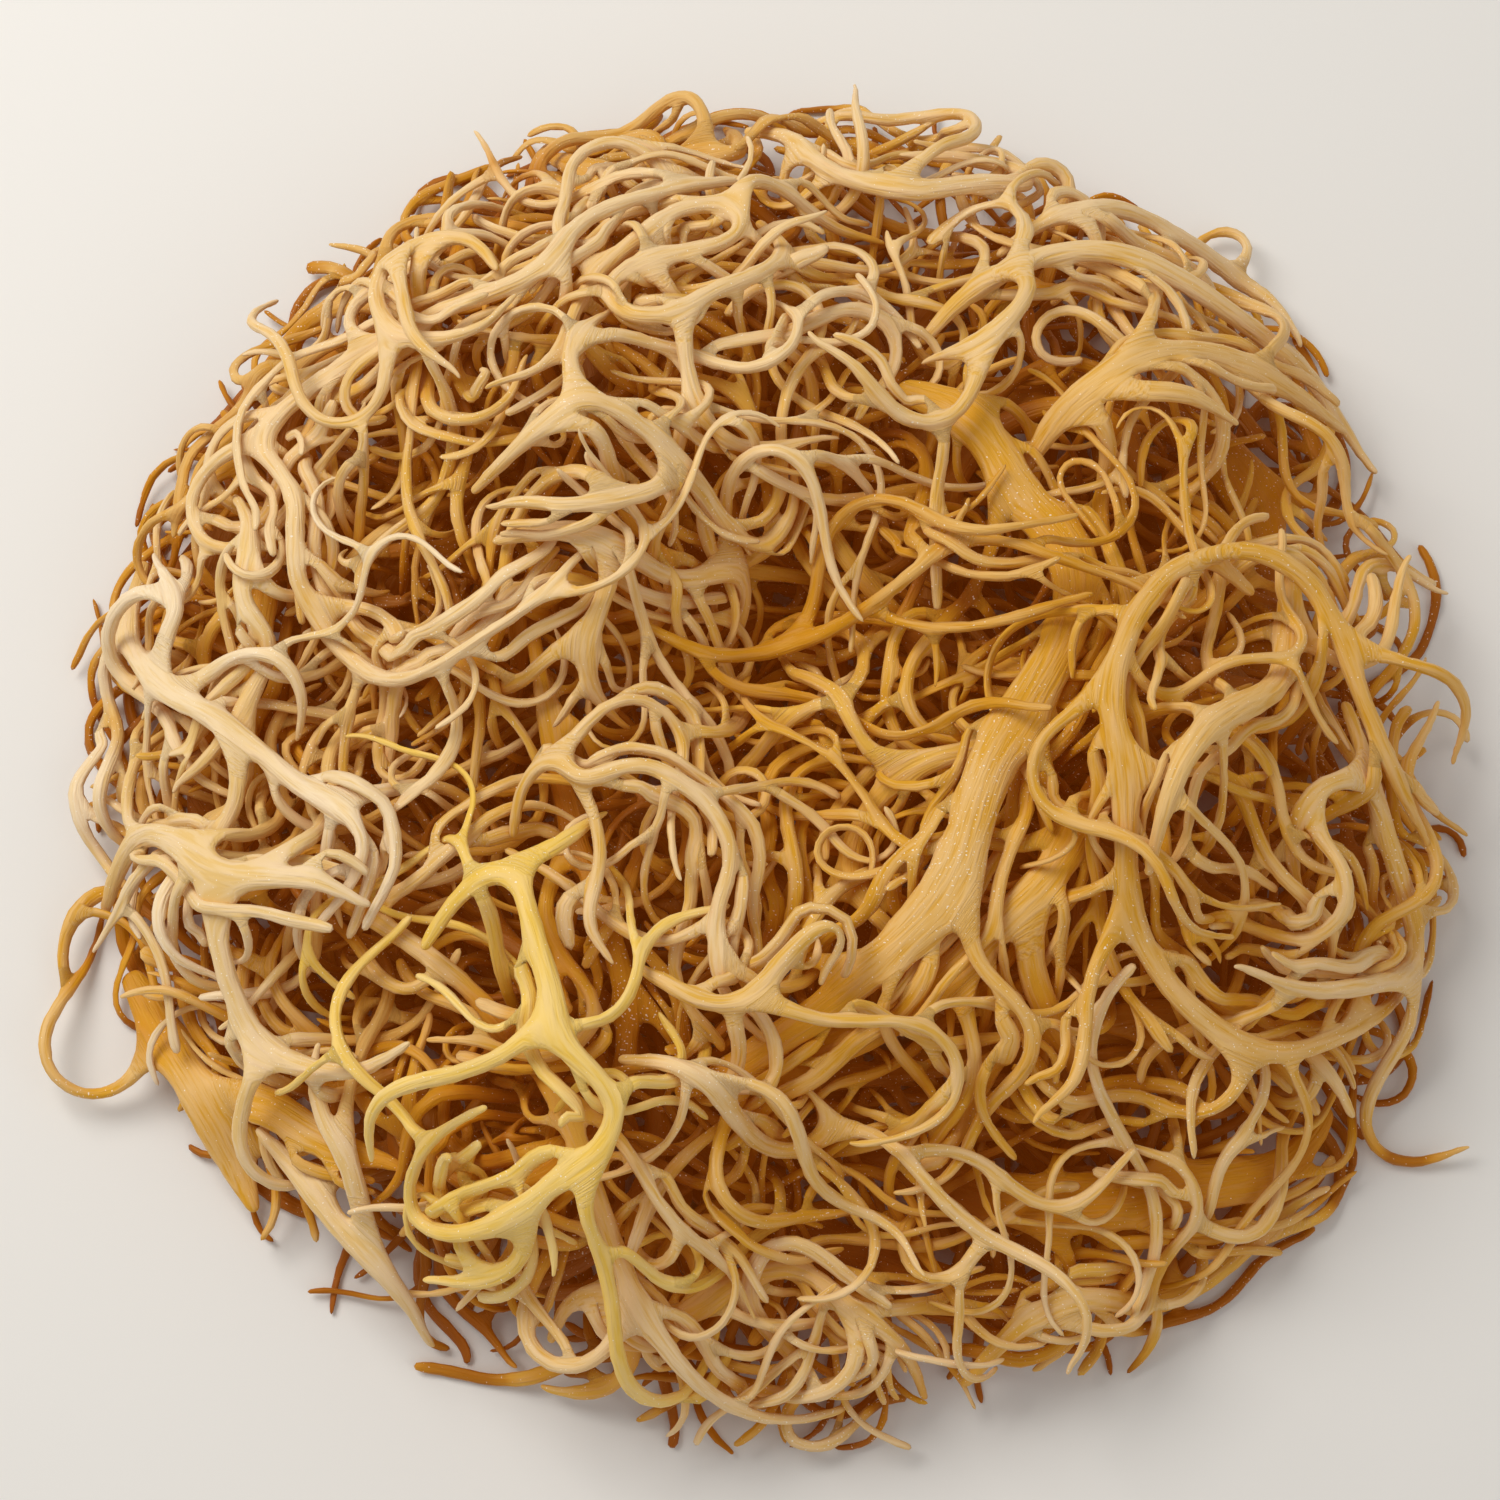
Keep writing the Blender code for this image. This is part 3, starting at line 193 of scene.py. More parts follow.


# %% [markdown]
# The plants on top have drawn routes, so that the loops, arches and knots lie where they lie on
# the real clump. The third number of a point is its layer: 0 is the ground and 1 the top of the
# heap there.

# %% Routes of the plants on top
# Routes of the sprigs that lie on top: x, y and the share of the heap's height below them.
TOP_SPRIGS = (
    Sprig("curl_head_sprig", 2.3, 2.0,
          ((-6, 70, 1), (-12, 68, 1.08), (-18, 65, 1.1), (-25, 60, 1.1), (-30, 54, 1.1),
           (-37, 50, 1.05), (-44, 48, 1), (-50, 46, 0.97), (-58, 44, 1), (-64, 38, 1),
           (-66, 34, 0.95), (-62, 28, 0.9), (-61, 20, 0.9), (-59, 13, 0.9), (-54, 6, 0.9),
           (-47, 1, 0.95), (-41, 1, 1), (-36, 5, 1), (-28, 11, 1), (-21, 17, 0.95)),
          limbs=(((-61, 20, 0.9), (-59, 29, 1), (-52, 31, 1.06), (-45, 28, 1.08), (-44, 23, 1.05),
            (-49, 18, 1), (-55, 19, 0.95)),),
          colour="cream"),
    Sprig("curl_head_loop", 2.2, 1.9,
          ((-2, 64, 0.9), (0, 59, 1), (-2, 53, 1.08), (-7, 49, 1.12), (-13, 45, 1.1),
           (-19, 44, 1.05), (-22, 48, 1), (-19, 53, 1), (-12, 56, 1.05), (-5, 59, 1.12),
           (-6, 64, 1.15), (-13, 63, 1.12), (-19, 59, 1.05), (-25, 52, 1), (-27, 43, 1),
           (-32, 38, 1), (-38, 37, 1)),
          limbs=(((-13, 45, 1.1), (-11, 37, 1.02), (-7, 30, 1), (-1, 28, 1), (7, 31, 0.95)),),
          colour="cream"),
    Sprig("side_loop_sprig", 2.1, 1.8,
          ((-34, 54, 1.08), (-36, 57, 1.12), (-41, 60, 1.14), (-47, 57, 1.14), (-49, 52, 1.1),
           (-47, 45, 1.05), (-40, 43, 1), (-33, 45, 1), (-32, 50, 1.02)),
          limbs=(((-47, 57, 1.14), (-45, 48, 1.16), (-42, 41, 1.12), (-35, 36, 1)),),
          colour="cream"),
    Sprig("inner_curl_sprig", 2.3, 2.0,
          ((-37, 25, 0.85), (-30, 30, 1), (-23, 33, 1.05), (-16, 30, 1.05), (-11, 26, 1),
           (-7, 21, 0.95), (0, 19, 0.95), (2, 25, 0.9), (0, 34, 0.85)),
          limbs=(((-23, 33, 1.05), (-26, 38, 1.04), (-23, 45, 1), (-18, 48, 0.9)),
           ((-11, 26, 1), (-18, 21, 1.05), (-25, 20, 1.05), (-34, 21, 1), (-37, 17, 0.9)),),
          colour="cream"),
    Sprig("lower_curl_sprig", 2.7, 2.1,
          ((-34, 18, 0.85), (-26, 18, 0.95), (-18, 16, 1), (-11, 13, 1.02), (-6, 17, 1.05),
           (-3, 15, 1), (-7, 7, 0.9)),
          limbs=(((-18, 16, 1), (-22, 8, 0.95), (-23, 1, 0.85), (-18, -5, 0.7)),),
          colour="cream"),
    Sprig("crown_sprig", 2.6, 2.0,
          ((-3, 82, 0.8), (3, 80, 0.9), (6, 74, 1), (13, 71, 1.05), (20, 69, 1.05), (27, 72, 1),
           (34, 72, 1), (35, 76, 1), (30, 78, 1), (23, 78, 1), (16, 77, 0.95)),
          limbs=(((6, 74, 1), (7, 80, 1.06), (13, 79, 1.1), (21, 79, 1.08), (27, 84, 0.9)),),
          colour="cream"),
    Sprig("upper_arc_sprig", 2.4, 2.0,
          ((30, 61, 0.85), (35, 66, 0.95), (42, 68, 1), (50, 68, 1), (59, 65, 0.95),
           (67, 60, 0.9), (71, 54, 0.8)),
          limbs=(((42, 68, 1), (48, 62, 1.06), (56, 64, 1.1), (65, 63, 1.05)),),
          colour="cream"),
    Sprig("long_arc_sprig", 2.8, 2.1,
          ((20, 48, 0.8), (24, 53, 0.9), (30, 57, 1), (38, 59, 1), (48, 58, 1), (58, 55, 1),
           (68, 50, 0.95), (77, 43, 0.85), (81, 35, 0.8)),
          limbs=(((30, 57, 1), (32, 51, 1.08), (28, 45, 1.08), (22, 43, 1), (18, 45, 0.9)),),
          colour="cream"),
    Sprig("second_arc_sprig", 3.4, 2.2,
          ((32, 30, 0.8), (36, 37, 0.95), (43, 41, 1), (52, 44, 1), (61, 45, 1), (71, 43, 0.95),
           (77, 40, 0.85)),
          limbs=(((43, 41, 1), (46, 37, 1.08), (53, 38, 1.1), (60, 34, 1)),),
          colour="gold"),
    Sprig("right_arch_sprig", 3.0, 2.2,
          ((59, 13, 0.95), (52, 16, 1.05), (46, 9, 1.1), (42, 1, 1.1), (40, -7, 1.05),
           (42, -16, 1), (43, -24, 1), (45, -34, 1), (50, -40, 1.05), (59, -44, 1.05),
           (68, -43, 1), (78, -37, 0.95), (84, -29, 0.85)),
          limbs=(((52, 16, 1.05), (59, 17, 1.12), (67, 13, 1.14), (71, 6, 1.12), (74, -4, 1.05),
            (78, -12, 0.98), (86, -18, 0.85)),),
          colour="gold"),
    Sprig("right_limb_sprig", 3.4, 2.3,
          ((67, 18, 0.8), (65, 10, 0.95), (63, 1, 1), (56, -6, 1.05), (50, -11, 1.12),
           (46, -19, 1.15), (45, -26, 1.05)),
          limbs=(((63, 1, 1), (57, 2, 0.9), (56, 8, 0.85)),),
          colour="gold"),
    Sprig("right_rim_sprig", 2.6, 2.0,
          ((73, 0, 0.85), (76, -10, 0.95), (80, -18, 0.95), (83, -28, 0.95), (78, -34, 1),
           (66, -37, 1.1), (55, -35, 1.1)),
          limbs=(((76, -10, 0.95), (68, -11, 0.95), (65, -17, 0.9), (67, -24, 0.8)),),
          colour="cream"),
    Sprig("golden_trunk_sprig", 6.0, 2.8,
          ((17, 40, 0.8), (23, 37, 0.85), (29, 32, 0.85), (33, 25, 0.85), (37, 19, 0.85),
           (38, 12, 0.85), (35, 3, 0.85), (30, -5, 0.88), (25, -14, 0.92), (22, -25, 0.95),
           (16, -32, 0.95), (9, -38, 0.95), (-1, -44, 0.9), (-11, -50, 0.85)),
          limbs=(((29, 32, 0.85), (28, 23, 1), (34, 16, 1.02), (31, 6, 1.02), (24, -2, 1),
            (20, -10, 1)),),
          colour="gold"),
    Sprig("twin_trunk_sprig", 4.2, 2.4,
          ((40, -12, 0.75), (36, -20, 0.85), (30, -28, 0.88), (22, -36, 0.9), (12, -42, 0.88),
           (3, -47, 0.85), (-4, -53, 0.8)),
          limbs=(((30, -28, 0.88), (31, -37, 0.85), (37, -44, 0.8), (40, -52, 0.75)),),
          colour="gold"),
    Sprig("bridge_sprig", 1.9, 1.7,
          ((-16, 8, 0.95), (-10, 5, 1.05), (-3, 6, 1.15), (6, 8, 1.2), (16, 13, 1.15),
           (22, 18, 1), (25, 25, 0.9)),
          colour="amber"),
    Sprig("yellow_sprig", 2.6, 2.1,
          ((-42, -32, 0.95), (-38, -25, 1), (-32, -24, 1.05), (-29, -31, 1.08), (-26, -40, 1.08),
           (-25, -47, 1.08), (-19, -51, 1.08), (-18, -57, 1.08), (-23, -61, 1.08),
           (-30, -65, 1.08), (-39, -67, 1.05), (-44, -64, 1), (-41, -57, 1), (-34, -53, 1.02)),
          limbs=(((-32, -24, 1.05), (-25, -20, 1), (-20, -16, 0.9)),
           ((-30, -65, 1.08), (-29, -70, 1.05), (-37, -72, 1), (-44, -71, 0.9)),),
          colour="yellow"),
    Sprig("left_pale_sprig", 2.6, 2.0,
          ((-85, 23, 0.8), (-86, 14, 0.9), (-82, 7, 0.98), (-77, 1, 1), (-71, -2, 1),
           (-64, -7, 1), (-58, -12, 1), (-51, -18, 0.98), (-51, -24, 0.95), (-56, -29, 0.9)),
          limbs=(((-82, 7, 0.98), (-77, 13, 1), (-79, 19, 1), (-83, 23, 0.95)),),
          colour="pale"),
    Sprig("left_white_sprig", 3.0, 2.1,
          ((-87, -23, 0.7), (-83, -17, 0.9), (-77, -16, 0.98), (-71, -21, 1), (-64, -25, 1),
           (-58, -25, 1.02), (-51, -27, 1), (-50, -32, 0.95)),
          limbs=(((-71, -21, 1), (-70, -29, 1), (-67, -36, 1), (-63, -43, 1), (-57, -47, 1),
            (-49, -48, 1), (-42, -43, 0.95)),),
          colour="pale"),
    Sprig("left_bundle_sprig", 2.3, 1.9,
          ((-70, 28, 0.8), (-67, 22, 0.95), (-68, 14, 1), (-64, 8, 1), (-67, 2, 1),
           (-72, -6, 0.85), (-79, -10, 0.8)),
          colour="pale"),
    Sprig("corner_sprig", 5.6, 2.6,
          ((-83, -32, 0.7), (-78, -40, 0.85), (-73, -48, 0.85), (-69, -55, 0.8), (-65, -65, 0.7)),
          limbs=(((-73, -48, 0.85), (-64, -50, 0.85), (-55, -55, 0.85), (-46, -58, 0.8)),),
          colour="gold"),
    Sprig("south_west_sprig", 2.8, 2.0,
          ((-65, -53, 0.85), (-59, -59, 0.95), (-53, -65, 0.98), (-47, -72, 0.95),
           (-44, -80, 0.85)),
          limbs=(((-53, -65, 0.98), (-53, -58, 1), (-56, -52, 1), (-58, -43, 0.95)),),
          colour="pale"),
    Sprig("ring_sprig", 2.2, 1.9,
          ((-32, -18, 0.85), (-31, -12, 0.95), (-27, -9, 1), (-23, -14, 1.05), (-16, -12, 1.08),
           (-8, -16, 1.08), (-5, -23, 1.05), (-7, -31, 1), (-7, -38, 0.95), (-2, -43, 0.9)),
          limbs=(((-23, -14, 1.05), (-21, -22, 1.02), (-23, -30, 0.98), (-19, -37, 0.9)),),
          colour="cream"),
    Sprig("hook_sprig", 2.3, 1.9,
          ((-16, -37, 0.95), (-11, -40, 1.05), (-6, -41, 1.1), (-1, -38, 1.15), (4, -33, 1.18),
           (8, -32, 1.18), (8, -36, 1.12), (3, -37, 1.05)),
          colour="cream"),
    Sprig("low_hook_sprig", 2.2, 1.9,
          ((-18, -47, 0.9), (-12, -48, 1.05), (-7, -52, 1.1), (-1, -57, 1.05), (4, -56, 1.05),
           (6, -51, 1), (2, -49, 0.95)),
          colour="cream"),
    Sprig("deep_trunk_sprig", 7.0, 2.8,
          ((10, -56, 0.5), (21, -59, 0.55), (32, -62, 0.6), (43, -63, 0.62), (55, -59, 0.65),
           (66, -57, 0.62), (73, -48, 0.6)),
          colour="amber"),
    Sprig("south_sprig", 2.6, 2.0,
          ((-28, -80, 0.8), (-25, -75, 0.95), (-17, -76, 1), (-13, -79, 0.95), (-6, -74, 0.9),
           (2, -71, 0.85), (10, -76, 0.9), (16, -79, 0.9), (19, -88, 0.7)),
          limbs=(((-17, -76, 1), (-18, -83, 0.95), (-23, -86, 0.9), (-29, -86, 0.8)),),
          colour="cream"),
    Sprig("south_east_sprig", 2.8, 2.0,
          ((25, -83, 0.7), (31, -76, 0.85), (40, -73, 0.9), (48, -74, 0.85), (56, -70, 0.85),
           (65, -62, 0.8), (74, -58, 0.6)),
          colour="cream"),
    Sprig("north_west_sprig", 2.8, 2.0,
          ((-72, 46, 0.6), (-64, 59, 0.8), (-54, 59, 0.9), (-48, 65, 0.9), (-49, 73, 0.85),
           (-40, 77, 0.8)),
          limbs=(((-54, 59, 0.9), (-50, 52, 0.9), (-58, 47, 0.85)),),
          colour="amber"),
    Sprig("north_sprig", 2.8, 2.0,
          ((-31, 83, 0.6), (-25, 77, 0.8), (-17, 76, 0.85), (-10, 79, 0.85), (-4, 76, 0.85),
           (-6, 88, 0.6)),
          colour="amber"),
)
print("drawn plants:", len(TOP_SPRIGS))


# %% [markdown]
# The bed under them, the filling between them and all the branches are laid by rule. Each path
# wanders as a growing tip does, turning now one way and now the other, and of a few such paths
# the one that is the least in the way of the others is kept.

# %% Lay the strands by rule
class Heap:
    """The strands laid so far, with what is needed to see where the heap is crowded."""

    def __init__(self):
        self.strands = []
        self.spots = np.zeros((0, 4))
        self.cover = {}

    def add(self, strand):
        self.strands.append(strand)
        rows = [(x, y, z, half) for (x, y, z), half in zip(strand.centres, strand.wide)]
        self.spots = np.concatenate([self.spots, np.array(rows)])
        for x, y, _, _ in rows:
            cell = (int(x // COVER_CELL), int(y // COVER_CELL))
            self.cover[cell] = self.cover.get(cell, 0) + 1

    def crowding(self, centres, half):
        """How badly a new strand would press on the laid ones and leave the heap."""
        cost = 0.0
        for x, y, z in centres:
            apart = np.sqrt((self.spots[:, 0] - x) ** 2 + (self.spots[:, 1] - y) ** 2
                            + (self.spots[:, 2] - z) ** 2)
            press = np.maximum(self.spots[:, 3] + half + 1.2 - apart, 0.0)
            cost += round(float(np.max(press, initial=0.0)), 6) ** 2
            cell = (int(x // COVER_CELL), int(y // COVER_CELL))
            cost += 0.7 * self.cover.get(cell, 0)
            cost += 0.4 * max(0.0, math.hypot(x, y) - HEAP_RADIUS) ** 2
        return cost / len(centres)


def smooth_route(route, step):
    """Points a step apart on a Catmull-Rom curve through the route's points."""
    ends = [route[0]] + list(route) + [route[-1]]
    fine = []
    for a, b, c, d in zip(ends, ends[1:], ends[2:], ends[3:]):
        for count in range(12):
            t = count / 12
            fine.append([0.5 * (2 * q + (r - p) * t + (2 * p - 5 * q + 4 * r - s) * t * t
                                + (3 * q - p - 3 * r + s) * t ** 3)
                         for p, q, r, s in zip(a, b, c, d)])
    fine.append(list(route[-1]))
    picked, run = [fine[0]], 0.0
    for before, after in zip(fine, fine[1:]):
        run += math.hypot(after[0] - before[0], after[1] - before[1])
        if run >= step:
            picked.append(after)
            run -= step
    return picked


def taper(count, half, stump, tip, share):
    """Half sizes along a strand: full in the middle, finer over a share at its tip."""
    sizes = []
    for ring in range(count):
        along = ring / max(1, count - 1)
        size = stump + (1.0 - stump) * min(1.0, along / 0.15)
        if along > 1.0 - share:
            size *= 1.0 + (tip - 1.0) * ((along - 1.0 + share) / share) ** 1.4
        sizes.append(half * size)
    return sizes


def lay_route(heap, rng, sprig, route, size=1.0, parent=None):
    """Lay a strand along a drawn route, with a slight waver, from its parent if it has one."""
    step = CURL_STEP if size * sprig.width < FINE_WIDTH else sprig.step
    phase = rng.uniform(0.0, 2 * math.pi)
    centres = []
    for ring, (x, y, layer) in enumerate(smooth_route(route, step)):
        waver = 0.7 * math.sin(phase + 1.1 * ring)
        z = layer * heap_height(x, y) + 0.8 * math.sin(2.0 * phase + 0.8 * ring)
        centres.append((x + waver * math.cos(phase), y + waver * math.sin(phase),
                        max(z, 0.5 * sprig.thickness)))
    wide, thick = 0.5 * size * sprig.width, 0.5 * size * sprig.thickness
    joint = 0
    if parent:
        joint, clear = nearest_joint(parent, centres[0])
        root = parent.wide[joint] + wide + FORK_CLEAR
        centres = [(x, y, z + (clear[2] - centres[0][2]) * max(0.0, 1.0 - ring / 3))
                   for ring, (x, y, z) in enumerate(centres)]
        while len(centres) > 3 and math.dist(centres[0], clear) < root:
            centres.pop(0)
    count = len(centres)
    stump = 1.0 if parent else 0.6
    strand = Strand(sprig, centres, taper(count, wide, stump, 0.4, 0.35),
                    taper(count, thick, stump, 0.5, 0.25), parent, joint)
    heap.add(strand)
    return strand


def nearest_joint(parent, spot):
    """The segment of a strand that lies nearest to a point, and the segment's middle."""
    best = None
    for joint in range(1, len(parent.centres) - 2):
        middle = [0.5 * (p + q) for p, q in zip(*parent.centres[joint:joint + 2])]
        away = math.dist(middle, spot)
        if best is None or away < best[0]:
            best = (away, joint, middle)
    return best[1], best[2]


def wander(rng, start, heading, length, step, bend, layer, wave):
    """Centres of a strand that curls over the ground while it seeks its layer of the heap."""
    turn = 1.0 / rng.uniform(*bend)
    drift = rng.choice((-1.0, 1.0)) * rng.uniform(0.1, 0.8)
    swing = rng.uniform(0.0, 2 * math.pi)
    swing_rate = 2 * math.pi / (bend[0] * rng.uniform(5.0, 12.0))
    ripple = rng.uniform(0.0, 2 * math.pi)
    x, y, z = start
    centres = []
    count = max(3, round(length / step))
    for ring in range(count):
        veer = turn * step * (drift + math.sin(swing + swing_rate * step * ring))
        heading += max(-SHARPEST_TURN, min(SHARPEST_TURN, veer))
        goal = layer * heap_height(x, y) + wave * math.sin(ripple + 0.19 * step * ring)
        climb = math.atan2(goal - z, 9.0)
        climb = max(-STEEPEST_CLIMB, min(STEEPEST_CLIMB, climb))
        x += step * math.cos(climb) * math.cos(heading)
        y += step * math.cos(climb) * math.sin(heading)
        z = max(z + step * math.sin(climb), LOWEST)
        centres.append((x, y, z))
    return centres


def ruled_sprigs(heap, rng, kind, rule):
    """Lay main axes round the heap, each of them the least crowding one of a few tries."""
    for number in range(rule.count):
        width = rng.uniform(*rule.widths)
        best = None
        for _ in range(3 * TRIES):
            spin = GOLDEN_ANGLE * (number + rng.uniform(-0.2, 0.2))
            out = HEAP_RADIUS * math.sqrt((number + rng.uniform(0.3, 1.0)) / rule.count)
            heading = spin + math.pi / 2 + rng.uniform(-0.5, 1.1)
            layer = rng.uniform(*rule.layers)
            x, y = out * math.cos(spin), out * math.sin(spin)
            start = (x, y, max(1.5, layer * heap_height(x, y)))
            path = wander(rng, start, heading, rule.length * rng.uniform(0.8, 1.15), rule.step,
                          rule.bend, layer, rule.wave)
            cost = heap.crowding(path, 0.5 * width)
            if best is None or cost < best[0]:
                best = (cost, path)
        path = best[1]
        thickness = min(THICKEST, 0.45 * width + 0.7)
        colour = "amber" if kind == "bed" else rng.choice(("amber", "gold", "cream"))
        sprig = Sprig(f"{kind}_sprig_{number + 1:02d}", width, thickness, (), colour=colour,
                      every=rule.every, step=rule.step)
        heap.add(Strand(sprig, path, taper(len(path), 0.5 * width, 0.6, 0.4, 0.35),
                        taper(len(path), 0.5 * thickness, 0.7, 0.5, 0.25)))


def grow_branches(heap, rng, parent, every, habit):
    """Let branches curl away from both sides of a strand, at its joints that are still free."""
    side = rng.choice((-1.0, 1.0))
    step = math.dist(parent.centres[1], parent.centres[2])
    place = every * rng.uniform(0.25, 0.75)
    while place < step * (len(parent.centres) - 2.2):
        joint = max(1, int(place / step))
        place += max(every * rng.uniform(0.7, 1.3), 1.05 * step)
        side = -side if rng.random() < 0.75 else side
        if joint in parent.forks:
            continue
        here, there = parent.centres[joint], parent.centres[joint + 1]
        middle = [0.5 * (p + q) for p, q in zip(here, there)]
        heading = math.atan2(there[1] - here[1], there[0] - here[0])
        half = min(rng.uniform(*habit.half), 0.9 * parent.wide[joint])
        length = rng.uniform(*habit.reach)
        best = None
        for _ in range(TRIES):
            lean = rng.uniform(*LEAN)
            away = heading + side * lean
            layer = min(1.12, max(0.1, middle[2] / heap_height(*middle[:2])
                                  + rng.uniform(*BRANCH_LAYER)))
            out = (parent.wide[joint] + half + FORK_CLEAR) / math.sin(lean)
            start = (middle[0] + out * math.cos(away), middle[1] + out * math.sin(away),
                     max(LOWEST, middle[2] + rng.uniform(-1.0, 1.5)))
            path = [start] + wander(rng, start, away, length, habit.step, habit.bend, layer,
                                    habit.wave)
            cost = heap.crowding(path, half)
            if best is None or cost < best[0]:
                best = (cost, path)
        path = best[1]
        heap.add(Strand(parent.sprig, path, taper(len(path), half, 1.0, habit.tip, 0.4),
                        taper(len(path), 0.92 * half, 1.0, habit.tip, 0.3), parent, joint,
                        habit.order))


def lay_heap():
    """Lay every strand of the clump where the rules put it, before they are pressed apart."""
    rng = random.Random(SEED)
    heap = Heap()
    for sprig in TOP_SPRIGS:
        axis = lay_route(heap, rng, sprig, sprig.route)
        for route in sprig.limbs:
            lay_route(heap, rng, sprig, route, 0.85, axis)
    ruled_sprigs(heap, rng, "bed", BED)
    ruled_sprigs(heap, rng, "fill", FILL)
    for strand in list(heap.strands):
        grow_branches(heap, rng, strand, strand.sprig.every, BRANCH)
    return heap.strands


strands = lay_heap()
print("strands laid:", len(strands))


# %% [markdown]
# Strands laid like that run through each other. A cloth or rigid body simulation could part
# them, but it would be slow and shape the clump in its own way. Here each strand is a chain of
# rings, touching segments push each other apart, and the push is spread along the strand.

# %% Press the strands apart
class Chain:
    """All strands as arrays of ring centres and of the segments between them."""

    def __init__(self, strands):
        centres, rings, neighbours, segments = [], [], [], []
        for number, strand in enumerate(strands):
            strand.first = len(centres)
            last = strand.first + len(strand.centres) - 1
            ease = DRAWN_EASE if strand.order == 0 and strand.sprig.route else 1.0
            for ring, centre in enumerate(strand.centres):
                spot = strand.first + ring
                centres.append(centre)
                rings.append((strand.wide[ring], strand.thick[ring], ease))
                neighbours.append((max(spot - 1, strand.first), min(spot + 1, last)))
                if ring:
                    segments.append((spot - 1, spot - 1, spot, number))
            if strand.parent:
                base = strand.parent.first + strand.joint
                segments.append((base, base + 1, strand.first, number))
        self.spots = np.array(centres)
        self.home = self.spots.copy()
        self.wide, self.thick, self.ease = np.array(rings).T.copy()
        self.before, self.after = np.array(neighbours).T.copy()
        self.begin_a, self.begin_b, self.finish, self.family = np.array(segments).T.copy()
        branches = [strand for strand in strands if strand.parent]
        self.roots = np.array([strand.first for strand in branches])
        self.bases = np.array([strand.parent.first + strand.joint for strand in branches])
        self.strands = strands


def dot(a, b):
    return a[:, 0] * b[:, 0] + a[:, 1] * b[:, 1] + a[:, 2] * b[:, 2]


def unit(a):
    return a / np.maximum(np.sqrt(dot(a, a)), 1e-9)[:, None]


def cross(a, b):
    return np.stack([a[:, 1] * b[:, 2] - a[:, 2] * b[:, 1],
                     a[:, 2] * b[:, 0] - a[:, 0] * b[:, 2],
                     a[:, 0] * b[:, 1] - a[:, 1] * b[:, 0]], axis=1)


def near_pairs(chain, margin):
    """Pairs of segments close enough to touch soon, without those joined at a fork."""
    start = 0.5 * (chain.spots[chain.begin_a] + chain.spots[chain.begin_b])
    end = chain.spots[chain.finish]
    middle = 0.5 * (start + end)
    ahead = end - start
    half = 0.5 * np.sqrt(dot(ahead, ahead)) + chain.wide[chain.finish]
    firsts, seconds = [], []
    for one in range(len(middle)):
        gap = middle[one + 1:] - middle[one]
        near = dot(gap, gap) < (half[one + 1:] + half[one] + margin) ** 2
        found = np.nonzero(near)[0] + one + 1
        firsts.append(np.full(len(found), one))
        seconds.append(found)
    first, second = np.concatenate(firsts), np.concatenate(seconds)
    free = chain.ease[chain.finish] > 0
    moving = free[first] | free[second]
    return keep_unjoined(chain, first[moving], second[moving])


def keep_unjoined(chain, first, second):
    """Drop pairs of segments that follow each other on a strand or meet at a fork."""
    ring_a, ring_b = chain.finish[first], chain.finish[second]
    own_a, own_b = chain.family[first], chain.family[second]
    same = (own_a == own_b) & (np.abs(ring_a - ring_b) <= 2)
    joined = np.zeros(len(first), bool)
    parent = np.full(len(chain.strands), -1)
    joint = np.zeros(len(chain.strands), int)
    start = np.array([strand.first for strand in chain.strands])
    index = {id(strand): number for number, strand in enumerate(chain.strands)}
    for number, strand in enumerate(chain.strands):
        if strand.parent:
            parent[number] = index[id(strand.parent)]
            joint[number] = strand.parent.first + strand.joint
    for branch, other, ring, far in ((own_a, own_b, ring_a, ring_b),
                                     (own_b, own_a, ring_b, ring_a)):
        at_root = ring - start[branch] <= 1
        on_parent = parent[branch] == other
        joined |= at_root & on_parent & (np.abs(far - joint[branch] - 0.5) <= 2.6)
    sibling = (parent[own_a] == parent[own_b]) & (parent[own_a] >= 0)
    close = np.abs(joint[own_a] - joint[own_b]) <= 1
    joined |= sibling & close & (ring_a - start[own_a] <= 0) & (ring_b - start[own_b] <= 0)
    keep = ~(same | joined)
    return first[keep], second[keep]


def closest(start_a, end_a, start_b, end_b):
    """Shares along two sets of segments at which they come closest."""
    way_a, way_b, between = end_a - start_a, end_b - start_b, start_a - start_b
    aa, ab, bb = dot(way_a, way_a), dot(way_a, way_b), dot(way_b, way_b)
    ac, bc = dot(way_a, between), dot(way_b, between)
    spread = aa * bb - ab * ab
    share_a = np.clip((ab * bc - ac * bb) / np.maximum(spread, 1e-6), 0.0, 1.0)
    share_b = np.clip((ab * share_a + bc) / np.maximum(bb, 1e-9), 0.0, 1.0)
    share_a = np.clip((ab * share_b - ac) / np.maximum(aa, 1e-9), 0.0, 1.0)
    return share_a, share_b


def meeting(chain, first, second):
    """Where pairs of segments come closest: their ways, both shares, and the gap as vectors."""
    start = 0.5 * (chain.spots[chain.begin_a] + chain.spots[chain.begin_b])
    end = chain.spots[chain.finish]
    share_a, share_b = closest(start[first], end[first], start[second], end[second])
    at_a = start[first] + (end[first] - start[first]) * share_a[:, None]
    at_b = start[second] + (end[second] - start[second]) * share_b[:, None]
    return end - start, share_a, share_b, at_a - at_b


def section_axes(way):
    """The flat side and the upright direction of a strand that runs along way."""
    along = unit(way)
    upright = np.zeros_like(along)
    upright[:, 2] = 1.0
    upright = unit(upright - along * along[:, 2:3])
    return cross(upright, along), upright


